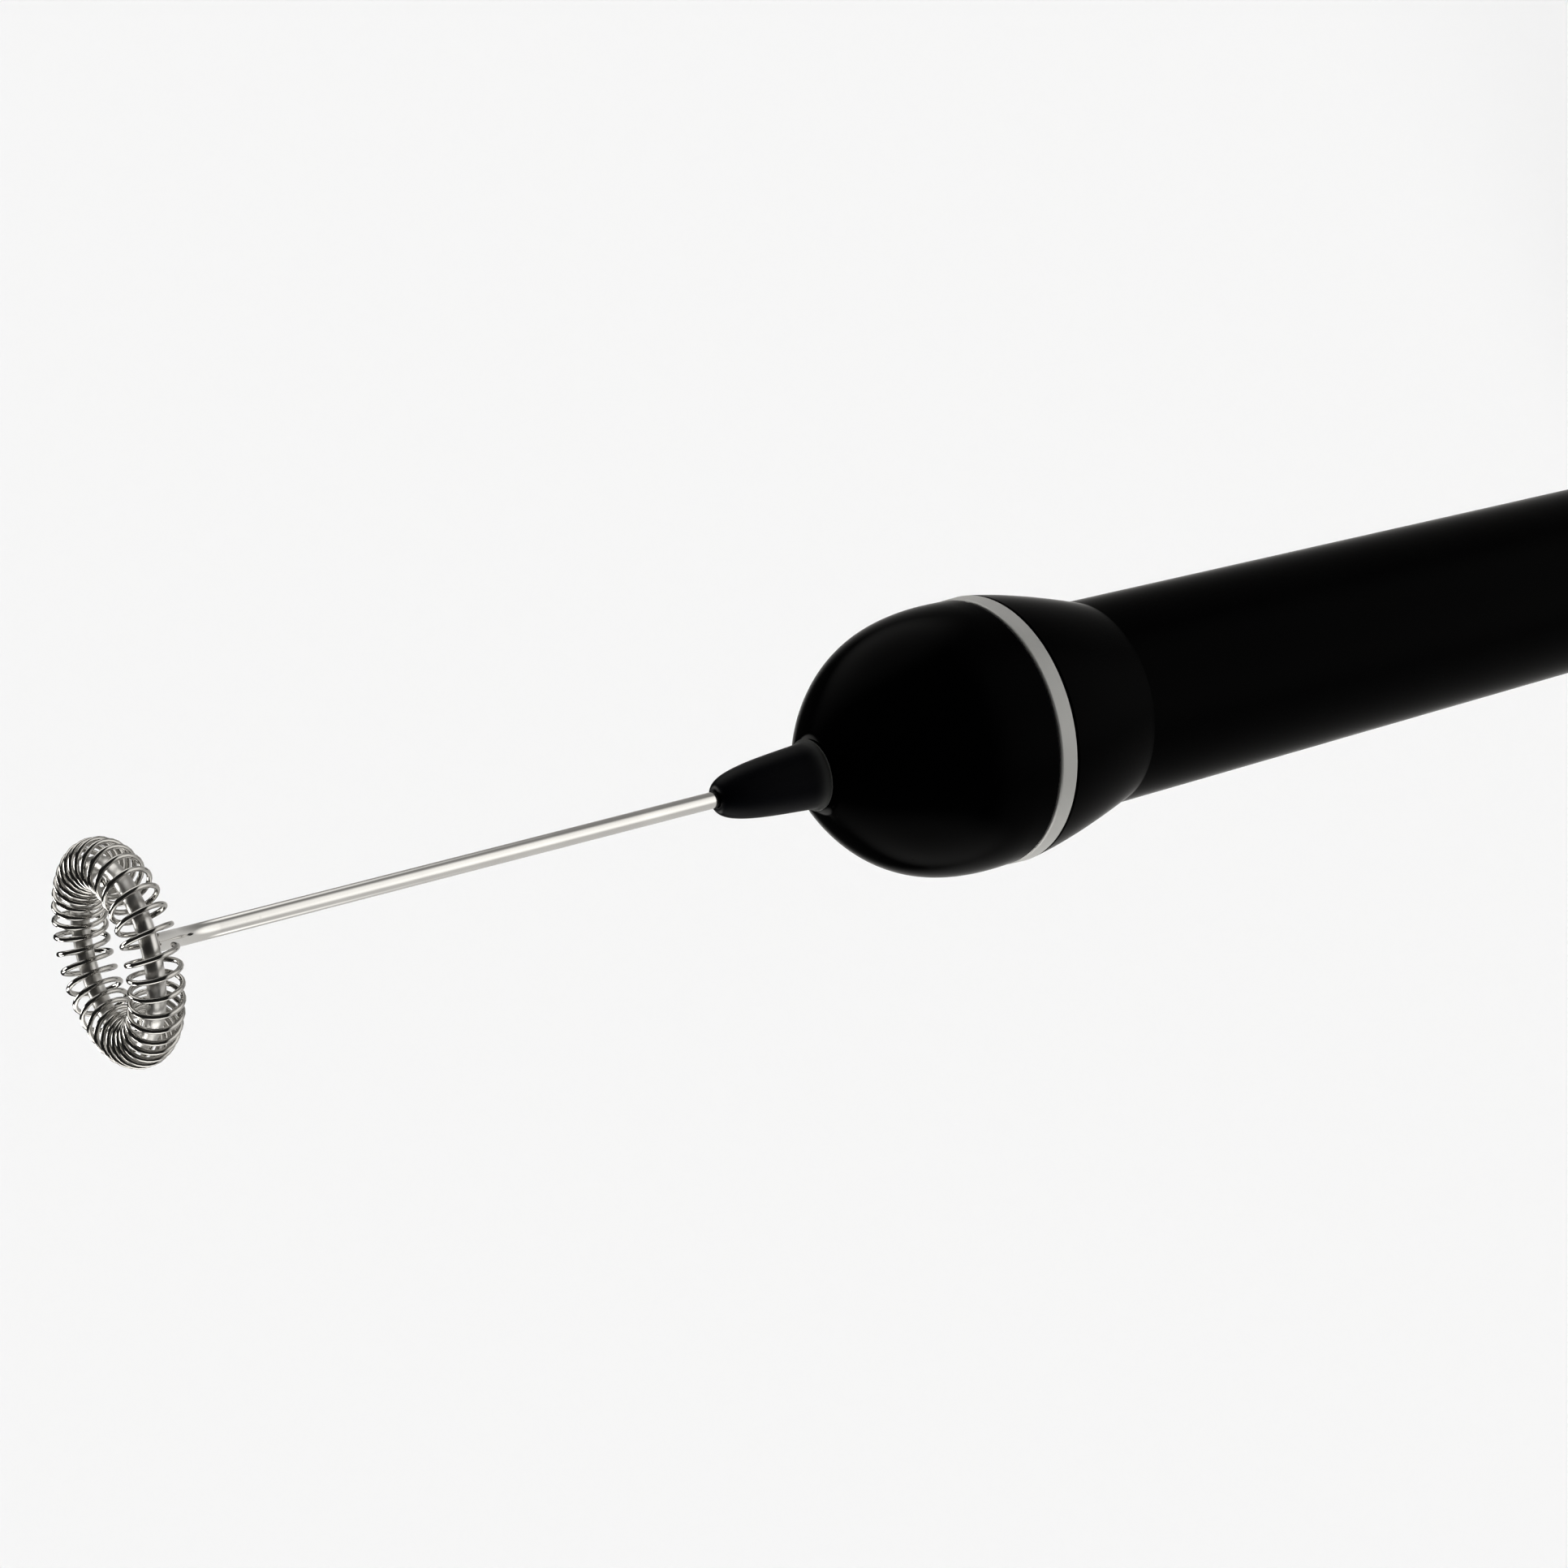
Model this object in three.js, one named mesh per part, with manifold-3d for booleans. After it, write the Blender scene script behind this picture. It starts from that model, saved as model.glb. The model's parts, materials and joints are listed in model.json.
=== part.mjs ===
// A battery-powered hand-held milk frother: a whisk on a steel rod, an egg-shaped motor housing
// with a silver trim band, a tube handle that holds two cells in line, and a pull-off end cap
// with a push button in its recess.
// Lengths are in millimetres. The axis is Z, and the frother stands on the rim of its end cap.

import * as THREE from "three";
import { mergeVertices } from "three/addons/utils/BufferGeometryUtils.js";
import Module from "manifold-3d";

const wasm = await Module();
wasm.setup();

// ---------------------------------------------------------------- driving dimensions

const GAP = 0.3; // clearance between parts that touch
const RUNNING_GAP = 0.08; // radial clearance round a turning shaft
const SIDES = 32; // sides of a large round part
const SMALL_SIDES = 16; // sides of a small round part
const SHAFT_SIDES = 12; // sides of a shaft

const WHISK = {
  ringZ: 252, // plane of the whisk ring
  ringR: 9.5, // centre line of the ring
  coilR: 2.7, // centre line of the wire, round the ring's own centre line
  wireR: 0.3,
  rodR: 1.0,
  turns: 36, // counted from the leg right round to the leg again
  startDeg: -0.4, // where the first turn would cross the leg's side of the ring
  endDeg: 357.6, // where the last turn would cross it
  clearTurns: 0.11, // each end of the coil stops this much of a turn before that crossing
  unevenness: 0.14, // share by which the pitch is wider near the leg than a quarter turn from it
  wideDeg: 20, // where round the ring the pitch is widest
  legDrop: 7.5, // the slanted leg leaves the axis this far before the ring's plane
  turnOutR: 4, // reach of the bend from the rod's axis into the leg
};

const NOSE = { baseZ: 162.2, neckZ: 163.4, tipZ: 176.1, flangeR: 4.45, neckR: 4.05, boreR: 2.45 };
const NOSE_SPIGOT = { r: 3.55, lowZ: 159.6 };
const ROD_GUIDE = { lowZ: 169.6, highZ: 172.6, r: 2.15 };

const DOME = { lowZ: 137.3, highZ: 161.9, edgeR: 16.88, topR: 4.6, wall: 1.8 };
const DOME_SPIGOT = { r: 15.3, boreR: 14, lowZ: 131.5 };
const BAND = { lowZ: 134.6, highZ: 137.05, boreR: 15.6, lowR: 17.05, highR: 16.95, bevel: 0.25 };

const HANDLE = {
  highZ: 134.35,
  creaseZ: 119,
  lowZ: 20,
  bulbR: 16.95, // at the band
  creaseR: 13.33, // where the bulb meets the tube
  lowR: 12.76,
  boreR: 11.2,
};

const CELL = { r: 7.25, bodyLength: 49, nubR: 2.75, length: 50.5 };
const REAR_CELL_Z = 18.5;
const FRONT_CELL_Z = REAR_CELL_Z + CELL.length + GAP;
const CELLS_TOP_Z = FRONT_CELL_Z + CELL.length;
const SLEEVE = { lowZ: 28, highZ: 119.6, r: 8.7, boreR: 7.6, ribR: 10.9, ribWidth: 1.6 };
const BULKHEAD = { lowZ: 121, highZ: 123, r: 12.4 };
const STRIP = { x: 9.2, thickness: 0.4, width: 3, lowZ: 27.1, highZ: 124.2 };

const MOTOR = {
  lowZ: 134, // the open end of the can
  highZ: 153.5,
  r: 10,
  flatX: 7.5, // half the distance across the flats
  wall: 0.8,
  shaftR: 1.0,
  bellLowZ: 129,
  bellFloor: 1.6,
  bellBoreR: 6.6,
  hubWall: 0.9,
  hubHeight: 1.6,
};
const SHAFT = { lowZ: 128.2, highZ: 160.4 };
const BUSHING = { r: 2.2, length: 2.4 };
const ARMATURE = { lowZ: 137, highZ: 148.5, r: 6.4, rimDepth: 1.3, hubR: 2.4, stemWidth: 2.2, poleDeg: 48 };
const WINDING = { innerR: 2.8, outerR: 4.1, halfWidth: 2.4, overhang: 1.5 };
const COMMUTATOR = { lowZ: 131.4, highZ: 134.6, r: 2.3 };
const TERMINAL = { lowZ: 126, highZ: 132.8, x: 5, thickness: 0.4, brushX: 2.6, halfWidth: 1 };
const MAGNET = { innerR: 7.0, outerR: 8.8, halfDeg: 46, lowZ: 135.5, highZ: 151 };
const MOUNT = { lowZ: 139.8, highZ: 142.6, r: 13.6, screwX: 11.6, bossR: 2.3, bossHighZ: 152 };
const SCREW = { r: 0.95, headR: 1.9, headHeight: 1.4, length: 9, slotHalf: 0.2, slotReach: 1.1 };
const LEAD = { r: 0.55, steps: 16, sides: 8 };
const LEAD_POSITIVE = [
  [-5.2, 0, 125.1], [-5.4, 2, 124.5], [-3.6, 3.6, 124.2], [-1, 2.4, 124.4], [0, 0, 124.7],
];
const LEAD_RETURN = [
  [5.2, 0, 125.1], [5.6, -1.8, 124.7], [7.6, -2.6, 124.5], [9, -1.2, 124.8], [9.2, 0, 125.3],
];
const COUPLING = { lowZ: 157.5, webZ: 161, highZ: 168.4, r: 2.0, web: 0.7 };

const CAP = {
  highZ: 19.7,
  r: 12.66,
  rimOuterR: 11.2,
  recessR: 8.2,
  recessZ: 2.2,
  floorZ: 4.2,
  holeR: 5.0,
  lowerBoreR: 8.3,
  ledgeZ: 10.7,
  upperBoreR: 9.1,
  spigotR: 10.9,
  spigotZ: 26,
};
const O_RING = { z: 22.4, r: 10.4, sectionR: 0.55, grooveHalf: 0.85, grooveR: 9.7 };
const BUTTON = { faceZ: 0.7, r: 4.7, flangeR: 6.2, flangeZ: 4.5, flangeTopZ: 5.7, bossR: 2.6, bossZ: 7.6 };
const BUTTON_SPRING = { r: 4.2, wireR: 0.3, lowZ: 6.3, highZ: 10.4, turns: 4 };
const SWITCH_BASE = { lowZ: 11, highZ: 12.6, r: 8.8 };
const CELL_SPRING = { lowR: 5, highR: 3.2, wireR: 0.4, lowZ: 13.3, highZ: 17.8, turns: 4 };

// ---------------------------------------------------------------- materials

// Makes one physically based material.
function material(color, roughness, metalness) {
  return new THREE.MeshStandardMaterial({ color, roughness, metalness });
}

const FINISH = {
  glossBlack: () => material(0x141416, 0.22, 0),
  satinBlack: () => material(0x1a1c21, 0.4, 0),
  silver: () => material(0xa8a5a1, 0.35, 0.6),
  steel: () => material(0xc4c4c6, 0.18, 1),
  plate: () => material(0xb0b1b3, 0.35, 1),
  copper: () => material(0xb4642e, 0.35, 1),
  brass: () => material(0xc2a04e, 0.3, 1),
  magnet: () => material(0x3c3c40, 0.7, 0.2),
  grey: () => material(0x55585c, 0.5, 0),
  white: () => material(0xdfdfda, 0.5, 0),
  rubber: () => material(0x202022, 0.8, 0),
  red: () => material(0xa8211b, 0.5, 0),
  jacket: () => material(0x3f5a74, 0.4, 0.1),
};

// ---------------------------------------------------------------- geometry helpers

// Turns an outline of [radius, z] pairs round the Z axis. The outline runs up the outside.
function lathe(outline, sides = SIDES) {
  const points = outline.map(([r, z]) => new THREE.Vector2(r, z));
  if (outline[0][0] > 0) points.push(points[0].clone());
  return new THREE.LatheGeometry(points, sides).rotateX(Math.PI / 2);
}

// Extrudes a flat shape along Z, from lowZ to highZ.
function prism(shape, lowZ, highZ, curveSegments = 12) {
  const options = { depth: highZ - lowZ, bevelEnabled: false, curveSegments };
  return new THREE.ExtrudeGeometry(shape, options).translate(0, 0, lowZ);
}

// A round bar along Z.
function bar(radius, lowZ, highZ, sides = SMALL_SIDES) {
  const height = highZ - lowZ;
  return new THREE.CylinderGeometry(radius, radius, height, sides)
    .rotateX(Math.PI / 2)
    .translate(0, 0, lowZ + height / 2);
}

// A box between two corners.
function block([x0, y0, z0], [x1, y1, z1]) {
  return new THREE.BoxGeometry(x1 - x0, y1 - y0, z1 - z0)
    .translate((x0 + x1) / 2, (y0 + y1) / 2, (z0 + z1) / 2);
}

// A round wire that follows a curve.
function wire(curve, radius, steps, sides) {
  const corners = Array.from({ length: sides }, (_, i) => {
    return new THREE.Vector2(radius, 0).rotateAround(new THREE.Vector2(), (2 * Math.PI * i) / sides);
  });
  const section = new THREE.Shape(corners);
  return new THREE.ExtrudeGeometry(section, { steps, extrudePath: curve, bevelEnabled: false });
}

// A closed geometry as a solid that can be joined and cut.
function solid(geometry) {
  const bare = geometry.clone();
  bare.deleteAttribute("normal");
  bare.deleteAttribute("uv");
  const merged = mergeVertices(bare, 1e-4);
  return new wasm.Manifold(new wasm.Mesh({
    numProp: 3,
    vertProperties: new Float32Array(merged.attributes.position.array),
    triVerts: new Uint32Array(merged.index.array),
  }));
}

// A solid as a geometry again.
function geometryOf(body) {
  const mesh = body.getMesh();
  const geometry = new THREE.BufferGeometry();
  geometry.setAttribute("position", new THREE.BufferAttribute(mesh.vertProperties, mesh.numProp));
  geometry.setIndex(new THREE.BufferAttribute(mesh.triVerts, 1));
  geometry.computeVertexNormals();
  return geometry;
}

// The geometry with each of the others cut from it.
function cut(geometry, ...others) {
  return geometryOf(others.reduce((body, other) => body.subtract(solid(other)), solid(geometry)));
}

// The geometry joined with each of the others.
function join(geometry, ...others) {
  return geometryOf(others.reduce((body, other) => body.add(solid(other)), solid(geometry)));
}

// The [radius, z] points of a smooth curve through the given control points.
function curvePoints(controls, segments) {
  const points = controls.map(([r, z]) => new THREE.Vector2(r, z));
  const Curve = points.length === 4 ? THREE.CubicBezierCurve : THREE.QuadraticBezierCurve;
  return new Curve(...points).getPoints(segments).map((p) => [p.x, p.y]);
}

// A helix about the Z axis whose radius may change along its height.
class SpringCurve extends THREE.Curve {
  constructor({ lowR, highR, lowZ, highZ, turns }) {
    super();
    Object.assign(this, { lowR, highR, lowZ, highZ, turns });
    this.arcLengthDivisions = 400;
  }

  getPoint(t, target = new THREE.Vector3()) {
    const angle = 2 * Math.PI * this.turns * t;
    const r = this.lowR + (this.highR - this.lowR) * t;
    const z = this.lowZ + (this.highZ - this.lowZ) * t;
    return target.set(r * Math.cos(angle), r * Math.sin(angle), z);
  }
}

// ---------------------------------------------------------------- whisk

// Degrees round the ring, counted anticlockwise from the leg, as an angle about Z.
const LEG_ANGLE = -Math.PI / 2;
const aroundRing = (degrees) => LEG_ANGLE + (degrees * Math.PI) / 180;

// The coil's wire: a helix whose own axis is the ring. Its ends lie either side of the leg.
class CoilCurve extends THREE.Curve {
  constructor() {
    super();
    this.arcLengthDivisions = 4000;
  }

  getPoint(t, target = new THREE.Vector3()) {
    const { turns, startDeg, endDeg, clearTurns, unevenness, wideDeg } = WHISK;
    const share = (clearTurns + (turns - 2 * clearTurns) * t) / turns;
    const lag = (4 * Math.PI * wideDeg) / 360;
    const drift = (unevenness / (4 * Math.PI)) * (Math.sin(4 * Math.PI * share - lag) + Math.sin(lag));
    const ring = aroundRing(startDeg + (endDeg - startDeg) * (share + drift));
    const wind = Math.atan2(-WHISK.legDrop, -WHISK.ringR) - 2 * Math.PI * turns * share;
    const r = WHISK.ringR + WHISK.coilR * Math.cos(wind);
    const z = WHISK.ringZ + WHISK.coilR * Math.sin(wind);
    return target.set(r * Math.cos(ring), r * Math.sin(ring), z);
  }
}

function whiskRod() {
  const { ringZ, ringR, legDrop, turnOutR, rodR } = WHISK;
  const point = (y, z) => new THREE.Vector3(0, y, z);
  const corner = point(0, ringZ - legDrop);
  const foot = point(-ringR, ringZ);
  const slant = foot.clone().sub(corner).normalize();
  const bendLow = point(0, corner.z - turnOutR);
  const legStart = corner.clone().addScaledVector(slant, turnOutR);
  const path = new THREE.CurvePath();
  path.add(new THREE.LineCurve3(point(0, bendLow.z - 1), bendLow));
  path.add(new THREE.QuadraticBezierCurve3(bendLow, corner, legStart));
  path.add(new THREE.LineCurve3(legStart, foot));
  const bent = wire(path, rodR - 0.02, 20, 8);
  const straight = bar(rodR, COUPLING.webZ + COUPLING.web + GAP, bendLow.z - 0.5, SHAFT_SIDES);
  const ring = new THREE.TorusGeometry(ringR, rodR, 10, 72);
  ring.translate(0, 0, ringZ);
  return join(straight, bent, ring);
}

function whiskCoil() {
  return wire(new CoilCurve(), WHISK.wireR, WHISK.turns * 8, 5);
}

// ---------------------------------------------------------------- housing

function noseCone() {
  const { baseZ, neckZ, tipZ, flangeR, neckR, boreR } = NOSE;
  const lip = WHISK.rodR + GAP;
  return lathe([
    [boreR, NOSE_SPIGOT.lowZ],
    [NOSE_SPIGOT.r, NOSE_SPIGOT.lowZ],
    [NOSE_SPIGOT.r, baseZ],
    [flangeR, baseZ],
    ...curvePoints([[flangeR, baseZ + 0.2], [neckR + 0.05, baseZ + 0.3], [neckR + 0.02, neckZ - 0.1]], 2),
    ...curvePoints([[neckR, neckZ], [3.65, neckZ + 5], [3.35, tipZ - 0.1], [lip + 0.3, tipZ]], 9),
    [lip, tipZ - 0.15],
    [lip, ROD_GUIDE.highZ + GAP],
    [boreR, ROD_GUIDE.highZ + GAP],
  ], SMALL_SIDES);
}

function rodGuide() {
  const bore = WHISK.rodR + RUNNING_GAP;
  const { lowZ, highZ, r } = ROD_GUIDE;
  return lathe([[bore, lowZ], [r, lowZ], [r, highZ], [bore, highZ]], SMALL_SIDES);
}

function domeHousing() {
  const { lowZ, highZ, edgeR, topR, wall } = DOME;
  const seatR = NOSE_SPIGOT.r + GAP;
  const outer = curvePoints([[edgeR + 0.06, 140], [edgeR + 0.06, 150], [13.75, 155.5], [topR, highZ]], 12);
  const inner = curvePoints([
    [topR + 0.4, highZ - 2.4],
    [11.8, 152.8],
    [edgeR - wall, 148.5],
    [edgeR - wall, 142],
  ], 9);
  const shell = lathe([
    [DOME_SPIGOT.boreR, DOME_SPIGOT.lowZ],
    [DOME_SPIGOT.r, DOME_SPIGOT.lowZ],
    [DOME_SPIGOT.r, lowZ],
    [edgeR, lowZ],
    ...outer,
    [seatR, highZ],
    [seatR, highZ - 2.4],
    ...inner,
    [DOME_SPIGOT.boreR, 139.5],
  ]);
  const bossLowZ = MOUNT.highZ + GAP;
  const sides = [-1, 1];
  const bosses = sides.map((side) => {
    return bar(MOUNT.bossR, bossLowZ, MOUNT.bossHighZ, SHAFT_SIDES).translate(side * MOUNT.screwX, 0, 0);
  });
  const pilots = sides.map((side) => {
    return bar(SCREW.r + GAP, bossLowZ - 1, MOUNT.lowZ + SCREW.length, SHAFT_SIDES)
      .translate(side * MOUNT.screwX, 0, 0);
  });
  return cut(join(shell, ...bosses), ...pilots);
}

function trimBand() {
  const { lowZ, highZ, boreR, lowR, highR, bevel } = BAND;
  return lathe([
    [boreR, lowZ],
    [lowR - bevel, lowZ],
    [lowR, lowZ + bevel],
    [highR, highZ - bevel],
    [highR - bevel, highZ],
    [boreR, highZ],
  ]);
}

function handleHousing() {
  const { highZ, creaseZ, lowZ, bulbR, creaseR, lowR, boreR } = HANDLE;
  const bulb = curvePoints([[creaseR, creaseZ], [16.1, 128.1], [bulbR, highZ]], 8);
  const shoulderZ = BULKHEAD.lowZ - GAP;
  const shoulderR = BULKHEAD.r + GAP;
  return lathe([
    [boreR, lowZ],
    [lowR - 0.2, lowZ],
    [lowR, lowZ + 0.2],
    [creaseR - 0.08, creaseZ - 0.3],
    ...bulb,
    [BAND.boreR, highZ],
    [BAND.boreR, DOME_SPIGOT.lowZ - GAP],
    [shoulderR + 1.2, DOME_SPIGOT.lowZ - 2],
    [shoulderR, BULKHEAD.highZ + 1],
    [shoulderR, shoulderZ],
    [boreR, shoulderZ],
  ]);
}

// ---------------------------------------------------------------- motor and drive

// The motor's outline: a circle with two flats, each side of the YZ plane.
function canShape(inset) {
  const r = MOTOR.r - inset;
  const angle = Math.acos((MOTOR.flatX - inset) / r);
  const shape = new THREE.Shape();
  shape.absarc(0, 0, r, angle, Math.PI - angle, false);
  shape.absarc(0, 0, r, Math.PI + angle, -angle, false);
  shape.closePath();
  return shape;
}

function motorCan() {
  const { lowZ, highZ, wall, hubWall, hubHeight } = MOTOR;
  const shell = prism(canShape(0), lowZ, highZ);
  const hub = bar(BUSHING.r + GAP + hubWall, highZ - wall, highZ + hubHeight);
  const cavity = prism(canShape(wall), lowZ - 1, highZ - wall);
  const seat = bar(BUSHING.r + GAP, highZ - wall - 1, highZ + 2);
  return cut(join(shell, hub), cavity, seat);
}

function motorEndBell() {
  const { bellLowZ, bellFloor, bellBoreR, lowZ } = MOTOR;
  const floorZ = bellLowZ + bellFloor;
  const cavity = bar(bellBoreR, floorZ, lowZ);
  const seat = bar(BUSHING.r + GAP, bellLowZ - 1, floorZ + 1);
  const slotY = TERMINAL.halfWidth + GAP;
  const slotOuterX = TERMINAL.x + TERMINAL.thickness + GAP;
  const slots = [0, Math.PI].map((turn) => {
    return block([TERMINAL.x - GAP, -slotY, bellLowZ - 1], [slotOuterX, slotY, floorZ + 1]).rotateZ(turn);
  });
  return cut(prism(canShape(0), bellLowZ, lowZ - GAP), cavity, seat, ...slots);
}

function bushing(lowZ) {
  const bore = MOTOR.shaftR + RUNNING_GAP;
  const highZ = lowZ + BUSHING.length;
  return lathe([[bore, lowZ], [BUSHING.r, lowZ], [BUSHING.r, highZ], [bore, highZ]], SMALL_SIDES);
}

// A curved field magnet, on the +Y side for side = 1 and on the -Y side for side = -1.
function magnet(side) {
  const { innerR, outerR, halfDeg, lowZ, highZ } = MAGNET;
  const middle = (side * Math.PI) / 2;
  const half = (halfDeg * Math.PI) / 180;
  const shape = new THREE.Shape();
  shape.absarc(0, 0, outerR, middle - half, middle + half, false);
  shape.absarc(0, 0, innerR, middle + half, middle - half, true);
  shape.closePath();
  return prism(shape, lowZ, highZ, 8);
}

// The laminated core: three T-shaped poles round a hub.
function armatureCore() {
  const { lowZ, highZ, r, rimDepth, hubR, stemWidth, poleDeg } = ARMATURE;
  const half = (poleDeg * Math.PI) / 180;
  const shape = new THREE.Shape();
  shape.absarc(0, 0, r, -half, half, false);
  shape.absarc(0, 0, r - rimDepth, half, -half, true);
  shape.closePath();
  const parts = [];
  for (let i = 0; i < 3; i += 1) {
    const turn = (2 * Math.PI * i) / 3;
    parts.push(prism(shape, lowZ, highZ, 6).rotateZ(turn));
    parts.push(block([0, -stemWidth / 2, lowZ], [r - rimDepth / 2, stemWidth / 2, highZ]).rotateZ(turn));
  }
  const shaftHole = bar(MOTOR.shaftR + GAP, lowZ - 1, highZ + 1, SHAFT_SIDES);
  return cut(join(bar(hubR, lowZ, highZ), ...parts), shaftHole);
}

// The copper winding round one pole's stem.
function winding(index) {
  const { lowZ, highZ, stemWidth } = ARMATURE;
  const halfHole = stemWidth / 2 + GAP;
  const { innerR, outerR, halfWidth, overhang } = WINDING;
  const outer = block([innerR, -halfWidth, lowZ - overhang], [outerR, halfWidth, highZ + overhang]);
  const hole = block([innerR - 1, -halfHole, lowZ - GAP], [outerR + 1, halfHole, highZ + GAP]);
  return cut(outer, hole).rotateZ((2 * Math.PI * index) / 3);
}

function commutator() {
  const bore = MOTOR.shaftR + GAP;
  const { lowZ, highZ, r } = COMMUTATOR;
  return lathe([[bore, lowZ], [r, lowZ], [r, highZ], [bore, highZ]], SMALL_SIDES);
}

function motorShaft() {
  return bar(MOTOR.shaftR, SHAFT.lowZ, SHAFT.highZ, SHAFT_SIDES);
}

// A terminal blade that passes through the end bell and bends inwards as a brush,
// on the +X side before it is turned about the axis.
function terminal(turn) {
  const { lowZ, highZ, x, thickness, brushX, halfWidth } = TERMINAL;
  const outerX = x + thickness;
  const underZ = highZ - thickness;
  const shape = new THREE.Shape([
    [x, lowZ], [outerX, lowZ], [outerX, highZ], [brushX, highZ], [brushX, underZ], [x, underZ],
  ].map(([px, pz]) => new THREE.Vector2(px, pz)));
  return prism(shape, -halfWidth, halfWidth).rotateX(Math.PI / 2).rotateZ(turn);
}

// The plastic ring that holds the motor in the dome.
function motorMount() {
  const shape = new THREE.Shape().absarc(0, 0, MOUNT.r, 0, 2 * Math.PI, false);
  shape.holes.push(canShape(-GAP));
  const holes = [-1, 1].map((side) => {
    return bar(SCREW.r + GAP, MOUNT.lowZ - 1, MOUNT.highZ + 1, SHAFT_SIDES)
      .translate(side * MOUNT.screwX, 0, 0);
  });
  return cut(prism(shape, MOUNT.lowZ, MOUNT.highZ, 16), ...holes);
}

// A pan-head screw that points up, with a cross recess in its head.
function mountScrew(side) {
  const { r, headR, headHeight, length, slotHalf, slotReach } = SCREW;
  const headZ = MOUNT.lowZ - GAP;
  const lowZ = headZ - headHeight;
  const body = lathe([
    [0, lowZ],
    [headR - 0.3, lowZ],
    [headR, lowZ + 0.4],
    [headR, headZ],
    [r, headZ],
    [r, headZ + length - r],
    [0, headZ + length],
  ], SHAFT_SIDES);
  const slot = block([-slotReach, -slotHalf, lowZ - 1], [slotReach, slotHalf, lowZ + headHeight / 2]);
  return cut(body, slot, slot.clone().rotateZ(Math.PI / 2)).translate(side * MOUNT.screwX, 0, 0);
}

function shaftCoupling() {
  const { lowZ, webZ, highZ, r, web } = COUPLING;
  const bore = MOTOR.shaftR + GAP;
  return lathe([
    [0, webZ],
    [bore, webZ],
    [bore, lowZ],
    [r, lowZ],
    [r, highZ],
    [bore, highZ],
    [bore, webZ + web],
    [0, webZ + web],
  ], SMALL_SIDES);
}

// An insulated lead through the given points.
function lead(points) {
  const curve = new THREE.CatmullRomCurve3(points.map((p) => new THREE.Vector3(...p)));
  return wire(curve, LEAD.r, LEAD.steps, LEAD.sides);
}

// ---------------------------------------------------------------- batteries and contacts

function cell(lowZ) {
  const { r, bodyLength, nubR, length } = CELL;
  return lathe([
    [0, lowZ],
    [r - 0.4, lowZ],
    [r, lowZ + 0.4],
    [r, lowZ + bodyLength - 0.4],
    [r - 0.4, lowZ + bodyLength],
    [nubR, lowZ + bodyLength],
    [nubR, lowZ + length],
    [0, lowZ + length],
  ]);
}

// The sleeve that centres the cells: a thin tube with four ribs.
function batterySleeve() {
  const { lowZ, highZ, r, boreR, ribR, ribWidth } = SLEEVE;
  const tube = new THREE.Shape().absarc(0, 0, r, 0, 2 * Math.PI, false);
  const ribs = [45, 135, 225, 315].map((degrees) => {
    return block([r - 0.6, -ribWidth / 2, lowZ], [ribR, ribWidth / 2, highZ])
      .rotateZ((degrees * Math.PI) / 180);
  });
  return cut(join(prism(tube, lowZ, highZ, SIDES), ...ribs), bar(boreR, lowZ - 1, highZ + 1, SIDES));
}

function contactBulkhead() {
  const { lowZ, highZ, r } = BULKHEAD;
  const slotX = STRIP.thickness / 2 + GAP;
  const slotY = STRIP.width / 2 + GAP;
  const slot = block([STRIP.x - slotX, -slotY, lowZ - 1], [STRIP.x + slotX, slotY, highZ + 1]);
  const hole = bar(1.4 + GAP, lowZ - 1, highZ + 1, SHAFT_SIDES);
  return cut(bar(r, lowZ, highZ, SIDES), slot, hole);
}

function positiveContact() {
  const discZ = CELLS_TOP_Z + GAP;
  return lathe([
    [0, discZ],
    [4.5, discZ],
    [4.5, discZ + 0.5],
    [1.4, discZ + 0.5],
    [1.4, BULKHEAD.highZ + 0.8],
    [0, BULKHEAD.highZ + 0.8],
  ], SMALL_SIDES);
}

// The metal strip along the sleeve, with a foot over the cap's contact ring.
function returnStrip() {
  const { x, thickness, width, lowZ, highZ } = STRIP;
  const outerX = x + thickness / 2;
  const shape = new THREE.Shape([
    [8.2, lowZ], [outerX, lowZ], [outerX, highZ], [outerX - thickness, highZ],
    [outerX - thickness, lowZ + thickness], [8.2, lowZ + thickness],
  ].map(([px, pz]) => new THREE.Vector2(px, pz)));
  return prism(shape, -width / 2, width / 2).rotateX(Math.PI / 2);
}

// ---------------------------------------------------------------- end cap and switch

function endCap() {
  const { highZ, r, rimOuterR, recessR, recessZ, floorZ, holeR } = CAP;
  const { lowerBoreR, ledgeZ, upperBoreR, spigotR, spigotZ } = CAP;
  return lathe([
    [recessR, 0],
    ...curvePoints([[rimOuterR, 0], [r, 0], [r, 1.5]], 5),
    [r, highZ - 0.2],
    [r - 0.2, highZ],
    [spigotR, highZ],
    [spigotR, O_RING.z - O_RING.grooveHalf],
    [O_RING.grooveR, O_RING.z - O_RING.grooveHalf],
    [O_RING.grooveR, O_RING.z + O_RING.grooveHalf],
    [spigotR, O_RING.z + O_RING.grooveHalf],
    [spigotR, spigotZ],
    [upperBoreR, spigotZ],
    [upperBoreR, ledgeZ],
    [lowerBoreR, ledgeZ],
    [lowerBoreR, floorZ],
    [holeR, floorZ],
    [holeR, recessZ],
    [recessR, recessZ],
  ]);
}

function capORing() {
  const { z, r, sectionR } = O_RING;
  return new THREE.TorusGeometry(r, sectionR, 6, SIDES).translate(0, 0, z);
}

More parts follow.
